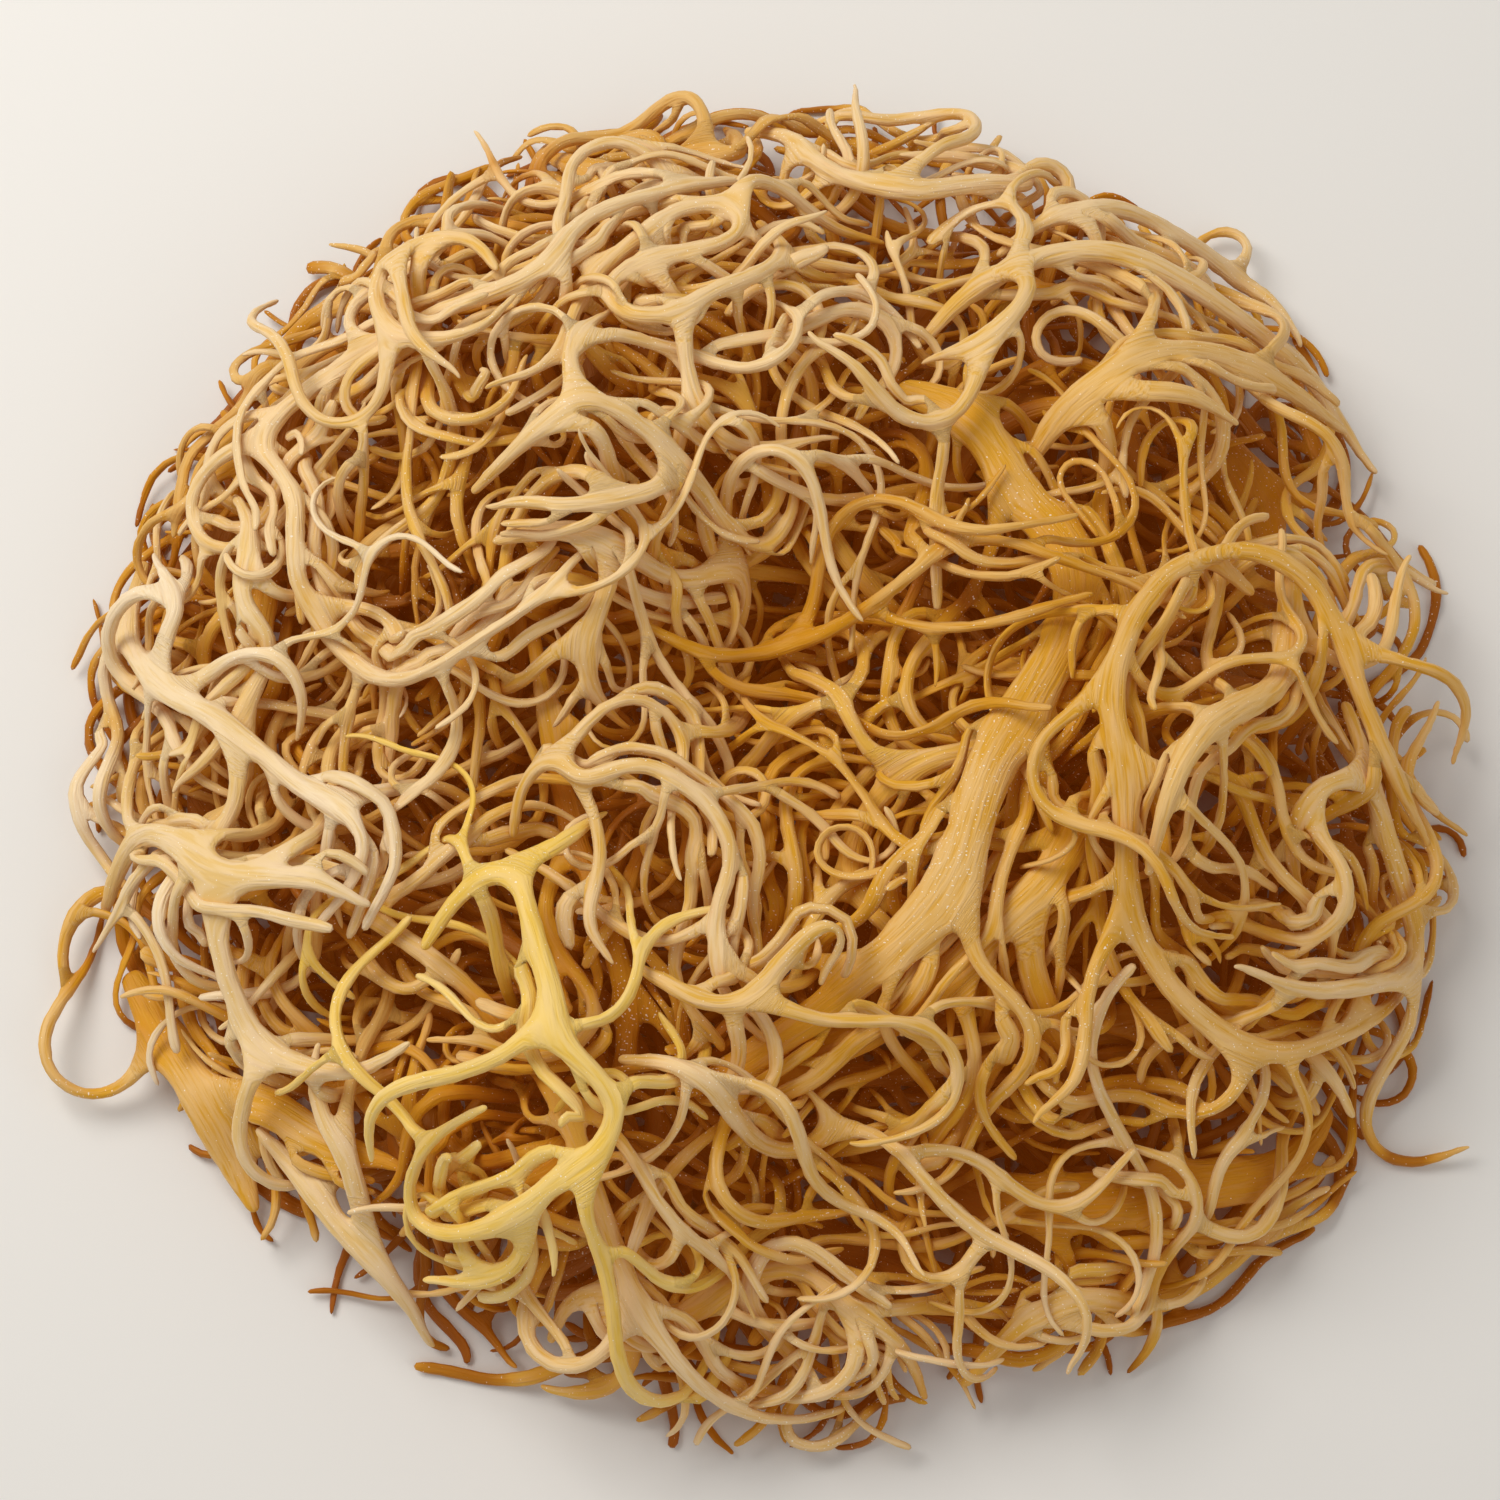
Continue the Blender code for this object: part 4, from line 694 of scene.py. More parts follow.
def press_apart(chain, rounds, smoothing, gap=GAP, margin=LOOK_MARGIN):
    """Move touching segments apart and spread each move along its strand."""
    for count in range(rounds):
        if count % LOOK_AGAIN == 0:
            first, second = near_pairs(chain, margin)
        spots = chain.spots
        way, share_a, share_b, apart = meeting(chain, first, second)
        distance = np.sqrt(dot(apart, apart))
        lost = distance < 1e-4
        apart[lost] = (0.0, 0.0, 1.0)
        away = apart / np.where(lost, 1.0, distance)[:, None]
        side, upright = section_axes(way)
        need = np.full(len(first), gap)
        for segment, share in ((first, share_a), (second, share_b)):
            ring, back = chain.finish[segment], chain.begin_a[segment]
            wide = chain.wide[back] * (1 - share) + chain.wide[ring] * share
            thick = chain.thick[back] * (1 - share) + chain.thick[ring] * share
            grown = chain.begin_a[segment] != chain.begin_b[segment]
            wide = np.where(grown, np.minimum(wide, 1.6 * chain.wide[ring] + 0.4), wide)
            need += wide * np.abs(dot(away, side[segment]))
            need += thick * np.abs(dot(away, upright[segment]))
        short = np.maximum(need - distance, 0.0)
        touch = short > 0
        move = np.zeros_like(spots)
        weight = np.zeros(len(spots))
        push = away[touch] * (0.5 * short[touch])[:, None]
        for segment, share, sign in ((first[touch], share_a[touch], 1.0),
                                     (second[touch], share_b[touch], -1.0)):
            for ring, part in ((chain.begin_a[segment], 0.5 * (1 - share)),
                               (chain.begin_b[segment], 0.5 * (1 - share)),
                               (chain.finish[segment], share)):
                np.add.at(move, ring, push * (sign * part)[:, None])
                np.add.at(weight, ring, part * part)
        moved = spots + 1.2 * move / np.maximum(weight, 0.7)[:, None] * chain.ease[:, None]
        drift = moved - chain.home
        spread = 0.5 * (drift[chain.before] + drift[chain.after])
        drift = drift + smoothing * (spread - drift)
        base = 0.5 * (drift[chain.bases] + drift[chain.bases + 1])
        drift[chain.roots] = 0.5 * (drift[chain.roots] + base)
        spots = chain.home + drift
        spots[:, 2] = np.maximum(spots[:, 2], chain.thick)
        chain.spots = np.round(spots, 4)


def take_places(strands, chain):
    """Give every strand its pressed ring centres."""
    for strand in strands:
        spots = chain.spots[strand.first:strand.first + len(strand.centres)]
        strand.centres = [Vector(spot) for spot in spots.tolist()]


chain = Chain(strands)
press_apart(chain, PRESS_ROUNDS, PRESS_SPREAD)
press_apart(chain, SETTLE_ROUNDS, SETTLE_SPREAD)
take_places(strands, chain)
print("pressed apart:", len(chain.spots), "rings")


# %% [markdown]
# The skins of the CAD plants tell where the clump's middle is, and which strands were dropped
# because they still crossed. The boxes of the skins are compared with the frame's nodes: they
# have to agree, or the fine pieces would stand beside the plants that they replace.

# %% Skin the plants and find the frame's place
def direction(centres, ring):
    """Where a strand heads at a ring, from the ring before to the one after."""
    return (centres[min(ring + 1, len(centres) - 1)] - centres[max(ring - 1, 0)]).normalized()


def turned_base(base, verts, ring):
    """A face's corners, counted from the one that fits the first corner of a ring best."""
    turn = min(range(4), key=lambda t: sum(
        (verts[base[(q + t) % 4]] - ring[q]).length_squared for q in range(4)))
    return [base[(q + turn) % 4] for q in range(4)]


def ring_corners(centres, wide, thick):
    """Four corners of the strand's section at each ring, in order round its direction."""
    corners = []
    upright = Vector((0.0, 0.0, 1.0))
    for ring, centre in enumerate(centres):
        along = direction(centres, ring)
        lean = Vector((0.0, 0.0, 1.0)) - along * along.z
        keep = upright - along * upright.dot(along)
        upright = (lean * lean.length + keep * (1.0 - lean.length)).normalized()
        side = upright.cross(along)
        flat, tall = side * wide[ring], upright * thick[ring]
        corners.append([centre + flat + tall, centre - flat + tall,
                        centre - flat - tall, centre + flat - tall])
    return corners


def skin(strands):
    """One closed mesh of quads: each branch is drawn out of a side face of its parent."""
    verts, faces, makers, walls = [], {}, {}, {}
    for strand in strands:
        corners = ring_corners(strand.centres, strand.wide, strand.thick)
        rings = []
        for ring in corners:
            rings.append(range(len(verts), len(verts) + 4))
            verts.extend(ring)
        if strand.parent:
            wall = pick_wall(strand, walls, verts, faces, corners[0])
            if wall is None:
                strand.dropped = True
                del verts[rings[0][0]:]
                continue
            rings.insert(0, turned_base(faces.pop(wall), verts, corners[0]))
        else:
            cap = list(reversed(rings[0]))
            faces[len(makers)] = cap
            makers[len(makers)] = strand
        for ring, (back, front) in enumerate(zip(rings, rings[1:])):
            for q in range(4):
                p = (q + 1) % 4
                number = len(makers)
                faces[number] = [back[q], back[p], front[p], front[q]]
                makers[number] = strand
                segment = ring - 1 if strand.parent else ring
                walls[(id(strand), segment, q)] = number
        faces[len(makers)] = list(rings[-1])
        makers[len(makers)] = strand
    return verts, faces, makers


def pick_wall(strand, walls, verts, faces, first_ring):
    """The free face of the parent's segment that best faces the branch."""
    goal = sum(first_ring, Vector()) / 4
    flat = strand.parent.wide[strand.joint] > 1.9 * strand.parent.thick[strand.joint]
    best = None
    for q in range(4):
        number = walls.get((id(strand.parent), strand.joint, q))
        if number not in faces or (flat and q in (0, 2)):
            continue
        a, b, c, d = (verts[spot] for spot in faces[number])
        normal = (c - a).cross(d - b).normalized()
        facing = normal.dot((goal - (a + b + c + d) / 4).normalized())
        if facing > 0.1 and (best is None or facing > best[0]):
            best = (facing, number)
    return best and best[1]


def find_crossings(skins):
    """Pairs of strands whose skins cross, from one tree of all the triangles."""
    verts, triangles, makers = [], [], []
    for group, faces, owners in skins:
        base = len(verts)
        verts.extend(group)
        for number, (a, b, c, d) in faces.items():
            for triangle in ((a, b, c), (a, c, d)):
                triangles.append([spot + base for spot in triangle])
                makers.append(owners[number])
    tree = BVHTree.FromPolygons([tuple(vert) for vert in verts], triangles, epsilon=0.0)
    pairs = []
    for one, two in tree.overlap(tree):
        if one < two and not set(triangles[one]) & set(triangles[two]):
            pairs.append((makers[one], makers[two]))
    return pairs


def drop_crossing(strands):
    """Skin the sprigs, dropping the finer strand of each crossing pair and what it carries."""
    while True:
        sprigs = {}
        for strand in strands:
            sprigs.setdefault(strand.sprig.name, []).append(strand)
        skins = {name: skin(group) for name, group in sprigs.items()}
        place = {id(strand): number for number, strand in enumerate(strands)}
        for one, two in find_crossings(skins.values()):
            if not (one.dropped or two.dropped):
                later = max(one, two, key=lambda strand: (strand.order, place[id(strand)]))
                later.dropped = True
        for strand in strands:
            if strand.parent and strand.parent.dropped:
                strand.dropped = True
        kept = [strand for strand in strands if not strand.dropped]
        if len(kept) == len(strands):
            return skins
        strands = kept


def box_of(points):
    return [Vector([pick(point[axis] for point in points) for axis in range(3)])
            for pick in (min, max)]


def settled(point):
    """A point of the heap in the frame: centred, flattened on the ground, in metres."""
    return Vector(((point[0] - middle.x) * MM, (point[1] - middle.y) * MM,
                   max(point[2] - SINK, 0.0) * MM))


skins = drop_crossing(strands)
strands = [strand for strand in strands if not strand.dropped]
lowest, highest = box_of([vert for verts, _, _ in skins.values() for vert in verts])
middle = 0.5 * (lowest + highest)
furthest = 0.0
for name, (verts, _, _) in skins.items():
    for mine, theirs in zip(box_of([settled(vert) for vert in verts]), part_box(name)):
        furthest = max(furthest, (mine - theirs).length)
print("strands kept:", len(strands), "largest difference from the frame:",
      round(furthest / MM, 3), "mm")


# %% [markdown]
# ## Fine branches
#
# Between the branches of the CAD model the real plants carry many finer ones: laterals that run
# beside their parent in locks, curls, and short pointed spurs. Hair particles would look alike
# but are lost on export, so each is a strand like the others, of more and finer rings.
#
# A grid of small cells remembers where the heap is already full. It answers much faster than
# the distance to thousands of rings would.

# %% A grid of what is filled
CELL = 1.8
# How far out and how high, as a share of the heap's height, a branch may lie, and how much
# better a path is for each bit of bare ground that it covers.
REACH_OUT = 93.0
LID = 1.06
BARE_FLOOR = 2.5
HALF_ACROSS = 110
TALLEST = 80
# What a strand adds to the cell it lies in and to the six beside it.
AROUND = np.zeros((3, 3, 3), np.int16)
AROUND[1, 1, :] = AROUND[1, :, 1] = AROUND[:, 1, 1] = 1
AROUND[1, 1, 1] = 2


class Room:
    """The heap's space in small cells, and how full each of them is."""

    def __init__(self):
        across = int(2 * HALF_ACROSS / CELL)
        self.full = np.zeros((across, across, int(TALLEST / CELL)), np.int16)

    def cell(self, x, y, z):
        last = len(self.full) - 2
        return (min(last, max(1, int((x + HALF_ACROSS) / CELL))),
                min(last, max(1, int((y + HALF_ACROSS) / CELL))), int(max(z, 0.0) / CELL) + 1)

    def fill(self, strand):
        for ring, centre in enumerate(strand.centres):
            after = strand.centres[min(ring + 1, len(strand.centres) - 1)]
            before = strand.centres[max(ring - 1, 0)]
            flat = Vector((before[1] - after[1], after[0] - before[0], 0.0)).normalized()
            spare = max(0.0, strand.wide[ring] - 1.0)
            half_way = 0.5 * (Vector(centre) + Vector(after))
            for place in (Vector(centre), half_way):
                for shift in ((0.0,) if spare < 0.4 else (-spare, 0.0, spare)):
                    x, y, z = self.cell(*(place + flat * shift))
                    self.full[x - 1:x + 2, y - 1:y + 2, z - 1:z + 2] += AROUND

    def crowding(self, path):
        """How much a path is in the way of others, runs out of the heap, or lies in a crowd."""
        cost = 0.0
        for x, y, z in path:
            i, j, k = self.cell(x, y, z)
            cost += min(4, self.full[i, j, k]) ** 2
            cost += 0.15 * min(20, int(self.full[i, j, k:].sum()))
            cost += max(0.0, math.hypot(x, y) - REACH_OUT + 3) ** 2
            cost += 3.0 * max(0.0, z - LID * heap_height(x, y)) ** 2
            if not self.full[i, j].any():
                cost -= BARE_FLOOR
            cost += 3.0 * max(0.0, z - highest.z + 1.0) ** 2
        return cost / len(path)


room = Room()
for strand in strands:
    room.fill(strand)
print("cells filled:", int((room.full > 1).sum()), "of", room.full.size)


# %% [markdown]
# A lateral runs beside its parent: its path is the parent's, moved out sideways, with a slow
# wave of its own. A curl wanders off by the rule that the CAD branches grew by. Both are tried
# a few times, and the path that finds the most room is kept.

# %% Grow the fine branches
FINE_STEP = 2.5
FINE_TIP = (0.5, 0.95)
FLATNESS = (0.4, 0.85)
CURL_LAYER = (-0.6, -0.06)
LOCK_HALF = (0.50, 0.86)
CURL_HALF = (0.44, 0.76)
SPUR_HALF = (0.36, 0.56)
LOCK = Habit(2, (24.0, 72.0), LOCK_HALF, (8.0, 20.0), 1.6, 0.4, FINE_STEP)
CURL = Habit(2, (18.0, 50.0), CURL_HALF, (4.5, 13.0), 2.6, 0.4, FINE_STEP)
DEEP = Habit(2, (22.0, 48.0), CURL_HALF, (6.0, 16.0), 2.0, 0.4, FINE_STEP)
SPRAY = Habit(3, (11.0, 30.0), SPUR_HALF, (4.0, 10.0), 1.8, 0.4, FINE_STEP)
SPUR = Habit(3, (4.5, 8.0), SPUR_HALF, (3.0, 9.0), 1.0, 0.4, 1.9)
FINE_TRIES = 7
MOST_CROWDED = 9.0
# How far apart fine branches leave the plants on top, those below and each other, and how many
# rings a fine branch needs to bear others.
TOP_FINE_EVERY = 8.2
LOW_FINE_EVERY = 8.7
SPRAY_EVERY = 17.0
RINGS_TO_BEAR = 8
# How a lateral lies beside its parent: the air between them, how far it opens away, how far it
# sags under it, and its slow wave sideways.
BESIDE_GAP = (0.5, 1.1)
BESIDE_OPENING = (0.3, 3.2)
BESIDE_SAG = (-4.6, -0.2)
BESIDE_RIPPLE = (0.3, 0.9)


def beside(rng, parent, joint, side, half, length, habit):
    """A path that runs beside a strand from one of its joints, and opens away from it."""
    here, there = Vector(parent.centres[joint]), Vector(parent.centres[joint + 1])
    out = 0.9 * parent.wide[joint] + half + rng.uniform(*BESIDE_GAP)
    opening = rng.uniform(*BESIDE_OPENING)
    rise = rng.uniform(*BESIDE_SAG)
    phase = rng.uniform(0.0, 2 * math.pi)
    ripple = rng.uniform(*BESIDE_RIPPLE)
    path = []
    spot, run, ring = 0.5 * (here + there), 0.0, joint + 1
    while run < length and ring < len(parent.centres):
        way = Vector(parent.centres[ring]) - spot
        if way.length < habit.step:
            ring += 1
            if way.length < 1e-3 or ring >= len(parent.centres):
                continue
            way = Vector(parent.centres[ring]) - spot
        along = way.normalized()
        spot = spot + along * habit.step
        run += habit.step
        flat = Vector((-along.y, along.x, 0.0)).normalized()
        share = run / length
        off = out + opening * share + ripple * math.sin(phase + 0.45 * run)
        lift = rise * math.sin(math.pi * share) + 0.5 * math.sin(phase + 0.7 * run)
        place = spot + flat * (side * off) + Vector((0.0, 0.0, lift))
        path.append((place.x, place.y, max(place.z, LOWEST)))
    return path


def curl_away(rng, parent, joint, side, half, length, habit):
    """A path that leaves a strand at a joint and wanders off in curls."""
    here, there = parent.centres[joint], parent.centres[joint + 1]
    centre = [0.5 * (p + q) for p, q in zip(here, there)]
    lean = rng.uniform(0.6, 1.3)
    away = math.atan2(there[1] - here[1], there[0] - here[0]) + side * lean
    layer = centre[2] / heap_height(centre[0], centre[1]) + rng.uniform(*CURL_LAYER)
    out = (0.9 * parent.wide[joint] + half + 0.7) / math.sin(lean)
    start = (centre[0] + out * math.cos(away), centre[1] + out * math.sin(away),
             max(LOWEST, centre[2] + rng.uniform(-0.9, 1.1)))
    return [start] + wander(rng, start, away, length, habit.step, habit.bend,
                            min(1.14, max(0.05, layer)), habit.wave)


def grow_fine(rng, parent, every, habits, chances):
    """Grow fine branches from a strand, on alternating sides, where they find room."""
    grown = []
    step = math.dist(parent.centres[0], parent.centres[1])
    place = every * rng.uniform(0.2, 0.9)
    side = rng.choice((-1.0, 1.0))
    while place < step * (len(parent.centres) - 2):
        joint = min(len(parent.centres) - 2, max(1, int(place / step)))
        place += every * rng.uniform(0.6, 1.4)
        side = -side if rng.random() < 0.7 else side
        habit = rng.choices(habits, chances)[0]
        half = min(rng.uniform(*habit.half), 0.95 * parent.wide[joint])
        best = None
        for _ in range(FINE_TRIES):
            length = rng.uniform(*habit.reach)
            make = beside if habit is LOCK else curl_away
            path = make(rng, parent, joint, side, half, length, habit)
            if len(path) < 3:
                continue
            cost = room.crowding(path) - 0.02 * len(path)
            if best is None or cost < best[0]:
                best = (cost, path)
        if best is None or best[0] > MOST_CROWDED:
            continue
        path = best[1]
        tip = rng.uniform(*FINE_TIP) if habit is not SPUR else habit.tip
        flatness = rng.uniform(*FLATNESS)
        fine = Strand(parent.sprig, path, taper(len(path), half / math.sqrt(flatness), 1.0, tip, 0.5),
                      taper(len(path), half * math.sqrt(flatness), 1.0, tip, 0.4), parent, joint,
                      max(habit.order, parent.order + 1))
        room.fill(fine)
        grown.append(fine)
    return grown


rng = random.Random(SEED + 1)
first_order = []
for strand in strands:
    on_top = strand.sprig.route or strand.sprig.name.startswith("fill")
    if on_top:
        first_order += grow_fine(rng, strand, TOP_FINE_EVERY, (LOCK, CURL, SPUR),
                                 (0.46, 0.52, 0.02))
    else:
        first_order += grow_fine(rng, strand, LOW_FINE_EVERY, (DEEP, LOCK), (0.75, 0.25))
print("first fine branches:", len(first_order), "rings",
      sum(len(strand.centres) for strand in first_order))
second_order = []
for strand in first_order:
    if len(strand.centres) > RINGS_TO_BEAR:
        second_order += grow_fine(rng, strand, SPRAY_EVERY, (SPRAY, SPUR), (0.9, 0.1))
print("second fine branches:", len(second_order), "rings",
      sum(len(strand.centres) for strand in second_order))


# %% [markdown]
# The fine branches are pressed apart in the same way, but the CAD strands stay where they are,
# and no branch may stick out far past the box of the CAD model. A fine branch that still lies in
# another one after that is taken out with whatever grows from it.

# %% Press the fine branches apart
FINE_ROUNDS = 70
FINE_GAP = 0.1
FINE_LOOK = 1.2
DEEPEST_OVERLAP = 0.45
SPILL = 2.2
SPILL_SHARE = 0.25


def overlapping(chain, need_share):
    """Pairs of strands whose segments lie deeper in each other than a share of their sizes."""
    first, second = near_pairs(chain, 0.2)
    _, _, _, apart = meeting(chain, first, second)
    distance = np.sqrt(dot(apart, apart))
    need = chain.thick[chain.finish[first]] + chain.thick[chain.finish[second]]
    deep = distance < (1.0 - need_share) * need
    return chain.family[first[deep]], chain.family[second[deep]]


def drop_overlapping(strands, chain):
    """The strands without the youngest of each pair that overlaps, and without what it bears."""
    for one, two in zip(*overlapping(chain, DEEPEST_OVERLAP)):
        pair = (strands[one], strands[two])
        if not (pair[0].dropped or pair[1].dropped):
            max(pair, key=lambda strand: strand.order).dropped = True
    for strand in strands:
        if strand.parent and strand.parent.dropped:
            strand.dropped = True
    return [strand for strand in strands if not strand.dropped]


def hold_in(chain, first):
    """Draw back the rings of fine branches that stick out past the sides of the CAD box."""
    spots = chain.spots[first:]
    for axis in (0, 1):
        inside = np.clip(spots[:, axis], lowest[axis] - SPILL, highest[axis] + SPILL)
        spots[:, axis] = inside + SPILL_SHARE * (spots[:, axis] - inside)


coarse = strands
everything = coarse + first_order + second_order
chain = Chain(everything)
frozen = coarse[-1].first + len(coarse[-1].centres)
chain.ease[:frozen] = 0.0
press_apart(chain, FINE_ROUNDS, PRESS_SPREAD, FINE_GAP, FINE_LOOK)
hold_in(chain, frozen)
take_places(everything, chain)
strands = drop_overlapping(everything, chain)
print("strands after pressing:", len(strands), "dropped:", len(everything) - len(strands))


# %% [markdown]
# ## Skins of the plants
#
# A strand could be a curve with a bevel, but then each fork would be two tubes pushed into each
# other. On the plant a branch grows out of its parent in one skin. So each plant is one cage of
# quads, smoothed by Subdivision Surface: the coarse strands are smoothed once, the fine
# branches are then drawn out of the smaller faces that gives, and all is smoothed once more.
#
# Two values travel with the vertices, for the colours: where a point lies across and along its
# strand, and its shade. The shade is three numbers: how pale, how deep in the heap and how salty
# the skin is there. Depth is judged as the eye does it, by what lies on top of a strand, and it
# paints shade into the colour: strands under others or in hollows are painted darker.

# %% Cages
CAGE = 1.08
TIP_REACH = 2.0
BUD_REACH = 1.4
KNOBS_WIDE = 0.09
KNOBS_THICK = 0.08
TIP_SHARE = 0.75
BUD_SHARE = 0.55


# A wall's number tells its strand, its segment (fewer than JOINTS) and its side (0 to 3).
JOINTS = 1000
NO_WALL = -4


def wall_number(strand, segment, side):
    return (strand.number * JOINTS + segment) * 4 + side


class Cage:
    """The quads of one plant, with what each vertex knows of its strand."""

    def __init__(self):
        self.verts, self.faces, self.walls = [], [], []
        self.fibre, self.shade = [], []

    def add_ring(self, corners, fibre, shade):
        spots = list(range(len(self.verts), len(self.verts) + 4))
        self.verts += corners
        self.fibre += fibre
        self.shade += [shade] * 4
        return spots

    def add_face(self, spots, wall=NO_WALL):
        self.faces.append(list(spots))
        self.walls.append(wall)


def finished_rings(strand, rng):
    """A strand's centres and half sizes with a pointed tip, a rounded start and small knobs."""
    centres = list(strand.centres)
    wide, thick = list(strand.wide), list(strand.thick)
    phase, pace = rng.uniform(0, 6.3), rng.uniform(0.9, 1.7)
    for ring in range(len(centres)):
        wide[ring] *= (1.0 + KNOBS_WIDE * math.sin(phase + pace * ring)
                       + rng.uniform(-KNOBS_WIDE, KNOBS_WIDE))
        thick[ring] *= (1.0 + KNOBS_THICK * math.sin(phase + 2.1 * pace * ring)
                        + rng.uniform(-KNOBS_THICK, KNOBS_THICK))
    if strand.order < 2:
        ahead = (centres[-1] - centres[-2]).normalized()
        bend = Vector((-ahead.y, ahead.x, 0.0)) * rng.uniform(-0.5, 0.5)
        centres.append(centres[-1] + (ahead + bend).normalized() * TIP_REACH)
        wide.append(TIP_SHARE * wide[-1])
        thick.append(TIP_SHARE * thick[-1])
    if not strand.parent:
        back = (centres[0] - centres[1]).normalized()
        centres.insert(0, centres[0] + back * BUD_REACH)
        wide.insert(0, BUD_SHARE * wide[0])
        thick.insert(0, BUD_SHARE * thick[0])
    return centres, wide, thick


# The heap without its hollows, against which the depth of a hollow is judged.
SWELLS_ONLY = [swell for swell in SWELLS if swell[3] > 0]
# The cells of the roof, how far out they go, how deep under it a strand gets its darkest painted
# shade, and how much a hollow of the heap counts beside what lies on top.
ROOF_CELL = 3.0
ROOF_REACH = 111.0
ROOF_DEPTH = 9.0
HOLLOW_SHARE = 1.3
ROOF_EVENINGS = 2


def roof_cell(x, y):
    return int((x + ROOF_REACH) / ROOF_CELL), int((y + ROOF_REACH) / ROOF_CELL)


def roof_heights(strands):
    """The height of the topmost strand in each cell of the heap, evened out over its neighbours."""
    across = int(2 * ROOF_REACH / ROOF_CELL)
    top = np.zeros((across, across))
    for strand in strands:
        for x, y, z in strand.centres:
            cell = roof_cell(x, y)
            top[cell] = max(top[cell], z)
    shifts = ((0, 0), (0, 1), (0, -1), (1, 0), (-1, 0), (1, 1), (1, -1), (-1, 1), (-1, -1))
    for _ in range(ROOF_EVENINGS):
        top = sum(np.roll(top, shift, (0, 1)) for shift in shifts) / len(shifts)
    return top


roof = roof_heights(strands)


def depth_at(centre):
    """How deep a point lies, from 0 on top of the heap to 1: under others or in a hollow."""
    covered = (roof[roof_cell(centre[0], centre[1])] - centre[2]) / ROOF_DEPTH
    sunk = 1.0 - centre[2] / heap_height(centre[0], centre[1], SWELLS_ONLY)
    return min(1.0, max(0.0, covered, HOLLOW_SHARE * sunk))


PATCH = 11.0
BAND = 5.0
SALT_PATCH = 17.0
STAIN = Vector((-34.0, 77.0, 0.0))
STAIN_REACH = 4.5


def shade_at(centre, tone, tip, run):
    """How pale, how deep and how salty the skin is at a ring: three numbers from 0 to 1, the first
    two with painted shade.
    """
    patch = noise.noise(centre / PATCH)
    band = noise.noise(Vector((run / BAND, 31.0 * tone, 0.0)))
    depth = depth_at(centre)
    # Partly the moss's own tone, tips and patches, partly painted shade: paler on top, darker below.
    pale = 0.58 + 0.55 * (tone - 0.5) + 0.2 * tip + 0.25 * band + 0.25 * patch - 1.2 * depth
    # Painted shade: strands under others or in hollows are pushed towards the deep colour.
    deep = 1.4 * (depth - 0.28) + 0.2 * patch - 0.2 * (tone - 0.5)
    # The dark stain is a real mark on the clump, carried by the same number.
    stain = 1.5 - (Vector((centre[0], centre[1], 0.0)) - STAIN).length / STAIN_REACH
    deep = max(deep, stain)
    salt = 0.5 + 0.9 * noise.noise(centre / SALT_PATCH + Vector((7.0, 7.0, 7.0)))
    return tuple(min(1.0, max(0.0, part)) for part in (pale, deep, salt))


MOST_TWIST = 1.1


def twist_rings(corners, centres, rng):
    """Turn the sections of a strand slowly one way and back, as a drying ribbon curls."""
    phase, pace, most = rng.uniform(0, 6.3), rng.uniform(0.15, 0.4), rng.uniform(0.3, MOST_TWIST)
    for ring, centre in enumerate(centres):
        turn = Quaternion(direction(centres, ring), most * math.sin(phase + pace * ring))
        corners[ring] = [centre + turn @ (corner - centre) for corner in corners[ring]]


def draw_strand(cage, strand, rng, base):
    """Add a strand's rings and walls to a cage, out of the base face if there is one."""
    centres, wide, thick = finished_rings(strand, rng)
    bud = 0 if strand.parent else 1
    tone = strand.tone
    corners = ring_corners(centres, [CAGE * half for half in wide],
                           [CAGE * half for half in thick])
    if strand.order >= 2:
        twist_rings(corners, centres, rng)
    rings, run = [], strand.run
    for ring, four in enumerate(corners):
        if ring:
            run += (centres[ring] - centres[ring - 1]).length
        w, t = wide[ring], thick[ring]
        fibre = [(w, t, run), (-w, t, run), (-w, -t, run), (w, -t, run)]
        shade = shade_at(centres[ring], tone, ring / (len(corners) - 1), run)
        rings.append(cage.add_ring(four, fibre, shade))
    if base:
        rings.insert(0, turned_base(base, cage.verts, corners[0]))
    else:
        cage.add_face(reversed(rings[0]))
    for ring, (back, front) in enumerate(zip(rings, rings[1:])):
        segment = ring - 1 if strand.parent else ring - bud
        for q in range(4):
            p = (q + 1) % 4
            wall = wall_number(strand, segment, q) if segment >= 0 else NO_WALL
            cage.add_face((back[q], back[p], front[p], front[q]), wall)
    cage.add_face(rings[-1])


def best_wall(cage, choices, free, strand):
    """The free face among some that the start of a strand stands most squarely over."""
    goal = strand.centres[0]
    coarse = strand.order < 2
    flat = strand.parent.wide[strand.joint] > 1.9 * strand.parent.thick[strand.joint]
    best = None
    for number in choices:
        if number not in free or (coarse and flat and cage.walls[number] % 4 in (0, 2)):
            continue
        a, b, c, d = (cage.verts[spot] for spot in cage.faces[number])
        way = goal - (a + b + c + d) / 4
        normal = (c - a).cross(d - b).normalized()
        facing = normal.dot(way.normalized())
        cost = -facing if coarse else way.length - 1.2 * facing
        if facing > 0.1 and (best is None or cost < best[0]):
            best = (cost, number)
    return best and best[1]


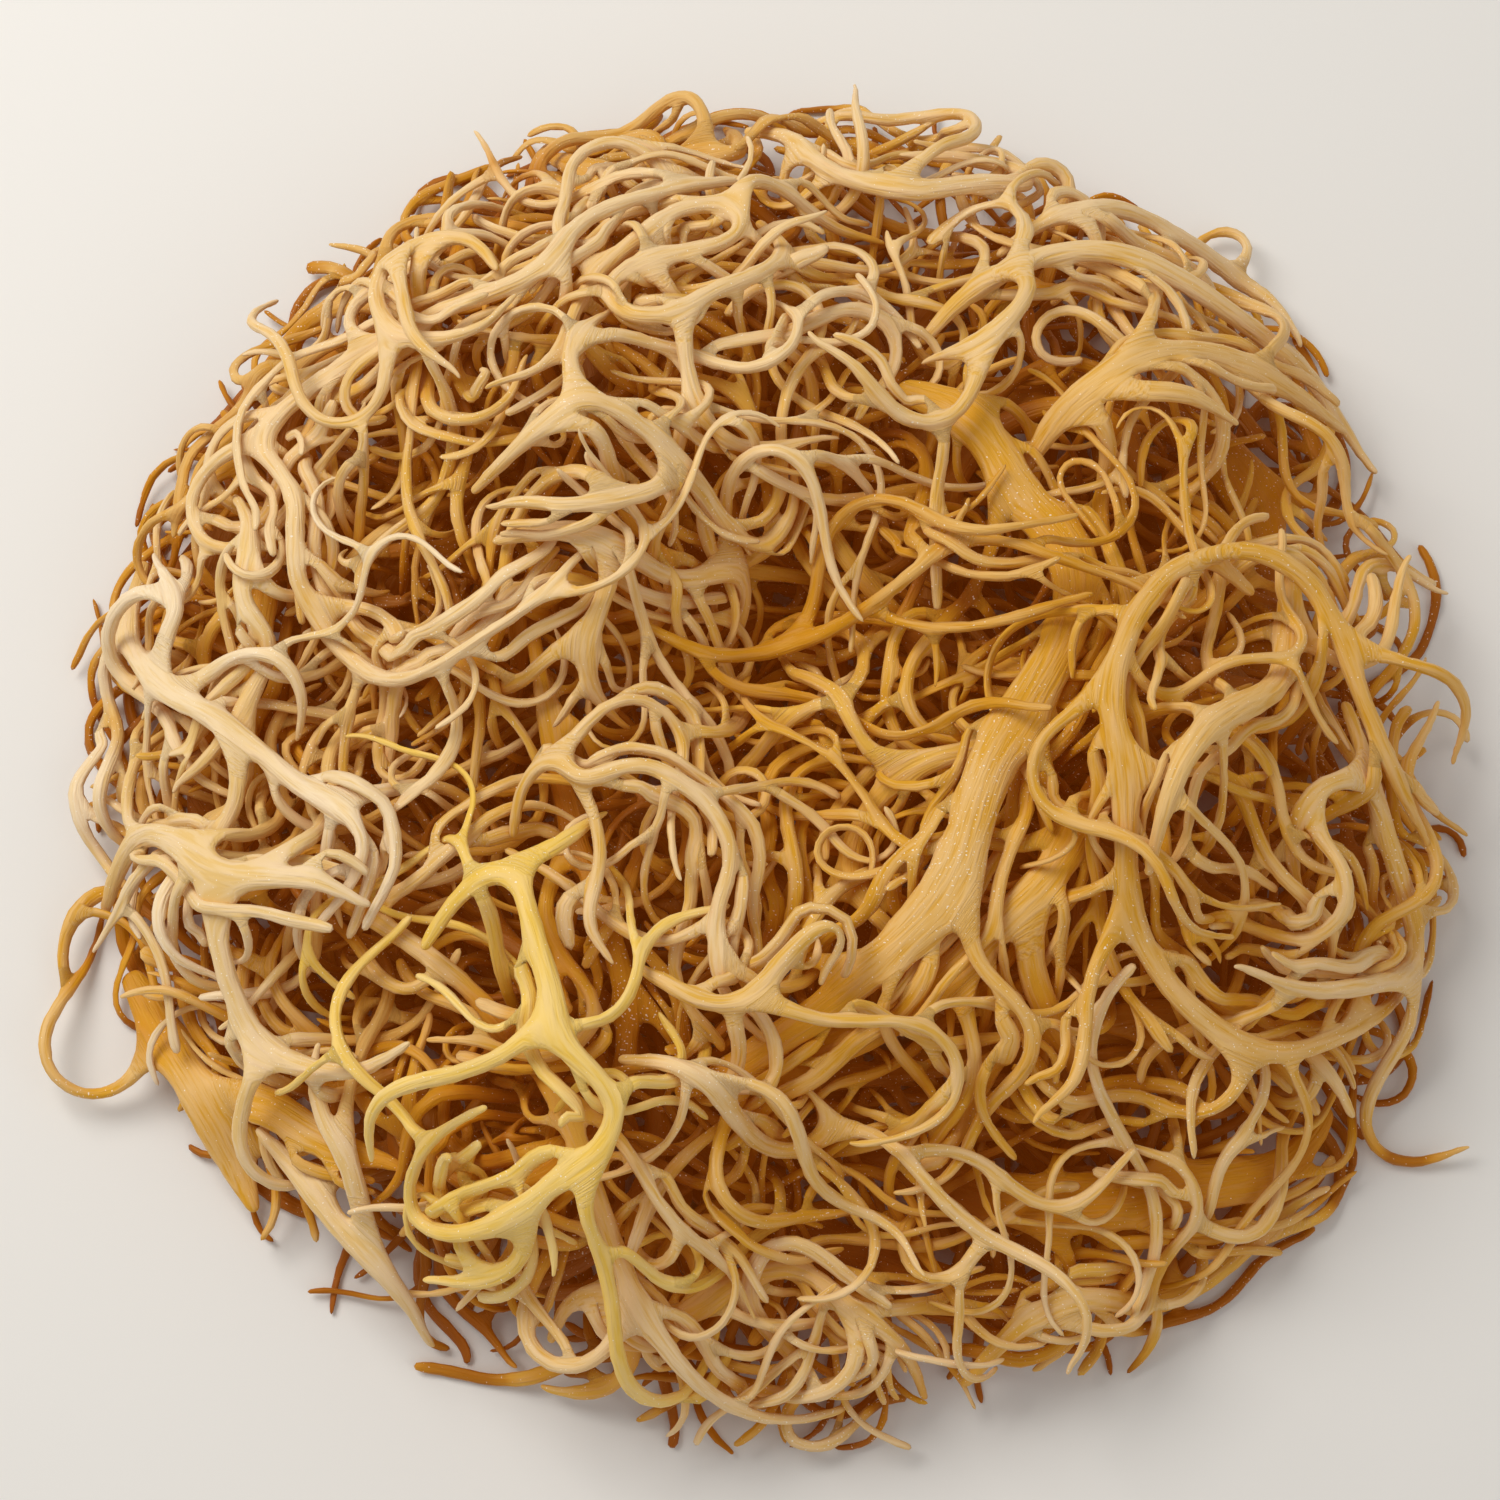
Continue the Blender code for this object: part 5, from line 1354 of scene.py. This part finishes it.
def draw_all(cage, group, rng):
    """Draw strands in order, each out of a wall of its parent if it has one."""
    by_wall = {}
    for number, wall in enumerate(cage.walls):
        by_wall.setdefault(wall // 4, []).append(number)
    free = set(range(len(cage.faces)))
    gone = set()
    for strand in group:
        base = None
        if strand.parent:
            if strand.parent.dropped:
                strand.dropped = True
                continue
            key = wall_number(strand.parent, strand.joint, 0) // 4
            number = best_wall(cage, by_wall.get(key, ()), free, strand)
            if number is None:
                strand.dropped = True
                continue
            free.discard(number)
            gone.add(number)
            base = cage.faces[number]
        before = len(cage.faces)
        draw_strand(cage, strand, rng, base)
        for number in range(before, len(cage.faces)):
            by_wall.setdefault(cage.walls[number] // 4, []).append(number)
            free.add(number)
    cage.faces = [face for number, face in enumerate(cage.faces) if number not in gone]
    cage.walls = [wall for number, wall in enumerate(cage.walls) if number not in gone]


# %% [markdown]
# A cage becomes a mesh with its values stored as attributes. Subdivision Surface carries them
# along: it blends the values of the vertices and copies the number of the wall to the four
# small faces that the wall becomes, so the fine branches find their walls again.

# %% From cage to mesh and back
def cage_object(name, cage, place):
    """A mesh object of a cage, its vertices moved by place and its values as attributes."""
    mesh = bpy.data.meshes.new(name)
    mesh.from_pydata([place(vert) for vert in cage.verts], [], cage.faces)
    for label, values in (("fibre", cage.fibre), ("shade", cage.shade)):
        layer = mesh.attributes.new(label, "FLOAT_VECTOR", "POINT")
        layer.data.foreach_set("vector", np.array(values, np.float32).ravel())
    layer = mesh.attributes.new("wall", "INT", "FACE")
    layer.data.foreach_set("value", np.array(cage.walls, np.int32))
    thing = bpy.data.objects.new(name, mesh)
    bpy.context.scene.collection.objects.link(thing)
    return thing


def select_only(thing):
    bpy.ops.object.select_all(action="DESELECT")
    thing.select_set(True)
    bpy.context.view_layer.objects.active = thing


def apply_subdivision(thing, limit):
    """Smooth an object once with Subdivision Surface and apply it."""
    select_only(thing)
    smooth = thing.modifiers.new("Smooth", "SUBSURF")
    smooth.levels = smooth.render_levels = 1
    smooth.use_limit_surface = limit
    bpy.ops.object.modifier_apply(modifier=smooth.name)


def read_cage(thing):
    """A cage made again from an object's mesh."""
    mesh = thing.data
    cage = Cage()
    count = len(mesh.vertices)
    for label in ("fibre", "shade"):
        flat = np.zeros(count * 3, np.float32)
        mesh.attributes[label].data.foreach_get("vector", flat)
        setattr(cage, label, [tuple(row) for row in flat.reshape(-1, 3).tolist()])
    walls = np.zeros(len(mesh.polygons), np.int32)
    mesh.attributes["wall"].data.foreach_get("value", walls)
    cage.walls = walls.tolist()
    cage.verts = [vert.co.copy() for vert in mesh.vertices]
    cage.faces = [list(face.vertices) for face in mesh.polygons]
    return cage


# %% [markdown]
# Now every plant is made: cage, first smoothing, fine branches, second smoothing. The finished
# mesh is roughened by a Displace modifier with a fine cloud texture, for the knobs and dents of
# dried flesh, which a perfectly even tube would lack.

# %% Make the plants
MOST_TRIANGLES = 190000
WRINKLE_SIZE = 0.0014
WRINKLE_DEPTH = 0.0003

clouds = bpy.data.textures.new("dried_flesh", "CLOUDS")
clouds.noise_scale = WRINKLE_SIZE
clouds.noise_depth = 1


def wrinkle(thing):
    """Raise and sink the skin a little, as dried flesh does."""
    select_only(thing)
    knobs = thing.modifiers.new("Knobs", "DISPLACE")
    knobs.texture = clouds
    knobs.texture_coords = "LOCAL"
    knobs.strength = WRINKLE_DEPTH
    knobs.mid_level = 0.5
    bpy.ops.object.modifier_apply(modifier=knobs.name)


def make_plant(name, group):
    """One plant as a smooth object, coarse strands first and fine ones drawn out of them."""
    draw = random.Random(name)
    cage = Cage()
    draw_all(cage, [strand for strand in group if strand.order < 2], draw)
    rough = cage_object(name + "_rough", cage, lambda point: point)
    apply_subdivision(rough, False)
    cage = read_cage(rough)
    bpy.data.objects.remove(rough)
    draw_all(cage, [strand for strand in group if strand.order >= 2], draw)
    plant = cage_object(name + "_plant", cage, settled)
    apply_subdivision(plant, True)
    wrinkle(plant)
    bpy.ops.object.shade_smooth()
    return plant


tones = random.Random(SEED + 2)
groups = {}
for number, strand in enumerate(strands):
    strand.number = number
    inherited = strand.parent.tone if strand.parent else tones.random()
    strand.tone = min(1.0, max(0.0, inherited + tones.uniform(-0.22, 0.22)))
    strand.run = tones.uniform(0.0, 400.0)
    groups.setdefault(strand.sprig.name, []).append(strand)

plants = {}
total = 0
for name, group in groups.items():
    plants[name] = make_plant(name, group)
    count = sum(len(face.vertices) - 2 for face in plants[name].data.polygons)
    total += count
    if count > MOST_TRIANGLES:
        print("too many triangles:", name, count)
print("plants:", len(plants), "triangles:", total, "without a wall:",
      sum(strand.dropped for strand in strands))


# %% [markdown]
# ## Colours
#
# Dried sea moss is amber and lets light through. Its thin tips are paler, and the heap's light and
# shade are painted into the colour: strands on top are painted cream, the ones below orange brown,
# and a faint orange emission paints a glow on all of them. Shader values are combined with plain
# Python maths through a small class, so that a pattern reads as a formula.

# %% Shader maths in plain Python
class Value:
    """A socket of a node, with Python's operators as Math nodes."""

    def __init__(self, tree, socket):
        self.tree = tree
        self.socket = socket

    def math(self, operation, *values):
        node = self.tree.nodes.new("ShaderNodeMath")
        node.operation = operation
        for slot, value in zip(node.inputs, values):
            if isinstance(value, Value):
                self.tree.links.new(value.socket, slot)
            else:
                slot.default_value = value
        return Value(self.tree, node.outputs[0])

    def __add__(self, other):
        return self.math("ADD", self, other)

    def __radd__(self, other):
        return self.math("ADD", other, self)

    def __sub__(self, other):
        return self.math("SUBTRACT", self, other)

    def __rsub__(self, other):
        return self.math("SUBTRACT", other, self)

    def __mul__(self, other):
        return self.math("MULTIPLY", self, other)

    def __rmul__(self, other):
        return self.math("MULTIPLY", other, self)


class Recipe:
    """The node tree of one material, and the few ways in which nodes are added to it."""

    def __init__(self, name):
        self.material = bpy.data.materials.new(name)
        self.material.use_nodes = True
        self.tree = self.material.node_tree
        self.shader = self.tree.nodes["Principled BSDF"]

    def feed(self, socket, value):
        if isinstance(value, Value):
            self.tree.links.new(value.socket, socket)
        else:
            socket.default_value = value

    def add(self, kind, sockets, output=0, **settings):
        """Add a node with its settings, and feed its sockets, by their names or numbers."""
        made = self.tree.nodes.new(kind)
        for name, value in settings.items():
            setattr(made, name, value)
        for name, value in sockets.items():
            self.feed(made.inputs[name], value)
        return Value(self.tree, made.outputs[output])

    def mix(self, share, one, two):
        """A colour between two colours."""
        return self.add("ShaderNodeMix", {0: share, 6: one, 7: two}, 2, data_type="RGBA")

    def step(self, value, low, high):
        """0 below low, 1 above high and smooth between."""
        return self.add("ShaderNodeMapRange", {0: value, 1: low, 2: high},
                        interpolation_type="SMOOTHSTEP")


# %% [markdown]
# One recipe serves all five colours of plant. A light, a middle and a deep colour are mixed by
# how pale and how deep the strand's shade says the skin is: beside the moss's own tone this is
# painted shade, darker under other strands and in hollows, lighter on top. Streaks follow the
# fibres, because their noise is read in the strand's own directions. Salt left by the drying sea
# water is a scatter of tiny white grains. The broad changes were worked out on the rings, once, so
# the shader has only two fine patterns left: dense heaps are slow to render otherwise.

# %% The skin of dried sea moss
# Light, middle and deep colour of each kind: the deep one is painted shade for covered strands and
# hollows, and also colours the real dark stain.
SKINS = {
    "cream": ((0.80, 0.62, 0.36, 1), (0.68, 0.395, 0.06, 1), (0.60, 0.25, 0.003, 1)),
    "gold": ((0.77, 0.54, 0.24, 1), (0.64, 0.33, 0.021, 1), (0.56, 0.22, 0.002, 1)),
    "amber": ((0.71, 0.46, 0.16, 1), (0.58, 0.27, 0.01, 1), (0.50, 0.175, 0.001, 1)),
    "yellow": ((0.86, 0.68, 0.30, 1), (0.78, 0.52, 0.08, 1), (0.62, 0.32, 0.004, 1)),
    "pale": ((0.84, 0.71, 0.50, 1), (0.72, 0.50, 0.19, 1), (0.58, 0.27, 0.008, 1)),
}
# Painted shade for the gaps between the deepest strands, also the middle of the real dark stain, and
# from which depth on the skin is painted that dark.
GAP_SHADE_AND_STAIN = (0.24, 0.05, 0.001, 1)
GAP_SHADE_AND_STAIN_FROM_TO = (0.6, 1.15)
SALT = (0.93, 0.88, 0.76, 1)
STREAK_SCALE = (1.5, 1.5, 0.14)
STREAK_CONTRAST = 2.4
GRAIN_SCALE = 3600.0
# Salt shows where the grains' noise, raised in salty patches, passes from one to the other.
SALT_FROM_TO = (0.85, 0.89)
SALT_PATCHES = 0.12
SALT_COVER = 0.8
# A faint orange emission on every strand: a painted glow in place of light passing through.
PAINTED_GLOW = (1.0, 0.2, 0.0, 1)
PAINTED_GLOW_STRENGTH = 0.04
SHINE_TINT = (1.0, 0.82, 0.5, 1)
BLOOM = (1.0, 0.82, 0.5, 1)
BLOOM_SHARE = 0.1


def moss_skin(label):
    """The finish of one colour of sea moss."""
    light, amber, deep = SKINS[label]
    recipe = Recipe("sea_moss_" + label)
    place = recipe.add("ShaderNodeTexCoord", {}, 3)
    fibre = recipe.add("ShaderNodeAttribute", {}, 1, attribute_name="fibre")
    shade = recipe.add("ShaderNodeAttribute", {}, 1, attribute_name="shade")
    # Pale and low carry painted shade beside the moss's own tone; low also carries the real stain.
    parts = recipe.add("ShaderNodeSeparateXYZ", {0: shade}).socket.node.outputs
    pale, low, salty = (Value(recipe.tree, part) for part in parts)

    along_fibre = recipe.add("ShaderNodeVectorMath", {0: fibre, 1: STREAK_SCALE},
                             operation="MULTIPLY")
    streaks = recipe.add("ShaderNodeTexNoise", {"Vector": along_fibre, "Scale": 1.0,
                                                "Detail": 2.0, "Roughness": 0.6})
    grains = recipe.add("ShaderNodeTexNoise", {"Vector": place, "Scale": GRAIN_SCALE,
                                               "Detail": 0.0})
    salt = recipe.step(grains + SALT_PATCHES * salty, *SALT_FROM_TO)
    # Partly the moss's own paleness, partly painted light: strands on top lean to the light colour.
    colour = recipe.mix(pale + STREAK_CONTRAST * (streaks - 0.5), amber, light)
    # Painted shade: covered strands and hollows go to the deep colour, the deepest to the gap shade.
    colour = recipe.mix(low + 0.5 * STREAK_CONTRAST * (streaks - 0.5), colour, deep)
    colour = recipe.mix(recipe.step(low, *GAP_SHADE_AND_STAIN_FROM_TO), colour, GAP_SHADE_AND_STAIN)
    colour = recipe.mix(SALT_COVER * salt, colour, SALT)

    bump = recipe.add("ShaderNodeBump", {"Strength": 0.8, "Distance": 0.0003,
                                         "Height": streaks})
    finish = {
        "Base Color": colour,
        "Roughness": 0.38 + 0.2 * streaks + 0.2 * salt,
        "Normal": bump,
        # Painted glow: the emission stands in for light passing through the moss.
        "Emission Color": PAINTED_GLOW,
        "Emission Strength": PAINTED_GLOW_STRENGTH,
        "Sheen Weight": BLOOM_SHARE,
        "Sheen Roughness": 0.5,
        "Sheen Tint": BLOOM,
        "Specular IOR Level": 0.35,
        "Specular Tint": SHINE_TINT,
    }
    for name, value in finish.items():
        recipe.feed(recipe.shader.inputs[name], value)
    return recipe.material


materials = {name: moss_skin(name) for name in SKINS}
for name, plant in plants.items():
    colour = groups[name][0].sprig.colour
    plant.data.materials.append(materials[colour])
    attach(plant, "root")
    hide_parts(name)
print("materials:", sorted(materials))


# %% [markdown]
# ## Floor, light and camera
#
# A plain pale floor carries the clump. A large soft lamp at the upper left gives the light and
# a weak one opposite opens the shadows, so that the gaps stay dark without turning black. The
# camera looks down steeply through a long lens.

# %% Floor and lights
FLOOR_SIZE = 12.0
FLOOR_COLOUR = (0.8, 0.79, 0.77, 1)
WARM_WHITE = (1.0, 0.96, 0.9)
LAMP_AIM = (0.0, 0.0, 0.02)
SKY_COLOUR = (1.0, 0.98, 0.95, 1)
SKY_STRENGTH = 0.39

bpy.ops.object.select_all(action="DESELECT")
bpy.ops.mesh.primitive_plane_add(size=FLOOR_SIZE)
floor = bpy.context.object
floor.name = "floor"
paper = bpy.data.materials.new("pale_floor")
paper.use_nodes = True
paper.node_tree.nodes["Principled BSDF"].inputs["Base Color"].default_value = FLOOR_COLOUR
paper.node_tree.nodes["Principled BSDF"].inputs["Roughness"].default_value = 0.9
floor.data.materials.append(paper)


def soft_lamp(name, size, power, place):
    """A square area lamp that points at the clump."""
    bpy.ops.object.light_add(type="AREA", location=place)
    lamp = bpy.context.object
    lamp.name = name
    lamp.data.size = size
    lamp.data.energy = power
    lamp.data.color = WARM_WHITE
    lamp.rotation_euler = (Vector(LAMP_AIM) - Vector(place)).to_track_quat("-Z", "Y").to_euler()
    return lamp


soft_lamp("key_lamp", 0.45, 4.15, (-0.36, 0.30, 0.58))
soft_lamp("fill_lamp", 0.8, 1.2, (0.6, -0.45, 0.6))

world = bpy.data.worlds.new("studio")
world.use_nodes = True
world.node_tree.nodes["Background"].inputs["Color"].default_value = SKY_COLOUR
world.node_tree.nodes["Background"].inputs["Strength"].default_value = SKY_STRENGTH
bpy.context.scene.world = world
bpy.context.scene.view_settings.view_transform = "Standard"

# %% Camera
ELEVATION = math.radians(76.0)
DISTANCE = 0.455
AIM = Vector((0.0, -0.004, 0.016))

bpy.ops.object.camera_add()
camera = bpy.context.object
camera.data.lens = 85.0
camera.data.clip_start = 0.01
camera.location = AIM + DISTANCE * Vector((0.0, -math.cos(ELEVATION), math.sin(ELEVATION)))
camera.rotation_euler = (AIM - camera.location).to_track_quat("-Z", "Y").to_euler()
bpy.context.scene.camera = camera
print("camera at", tuple(round(part, 3) for part in camera.location))
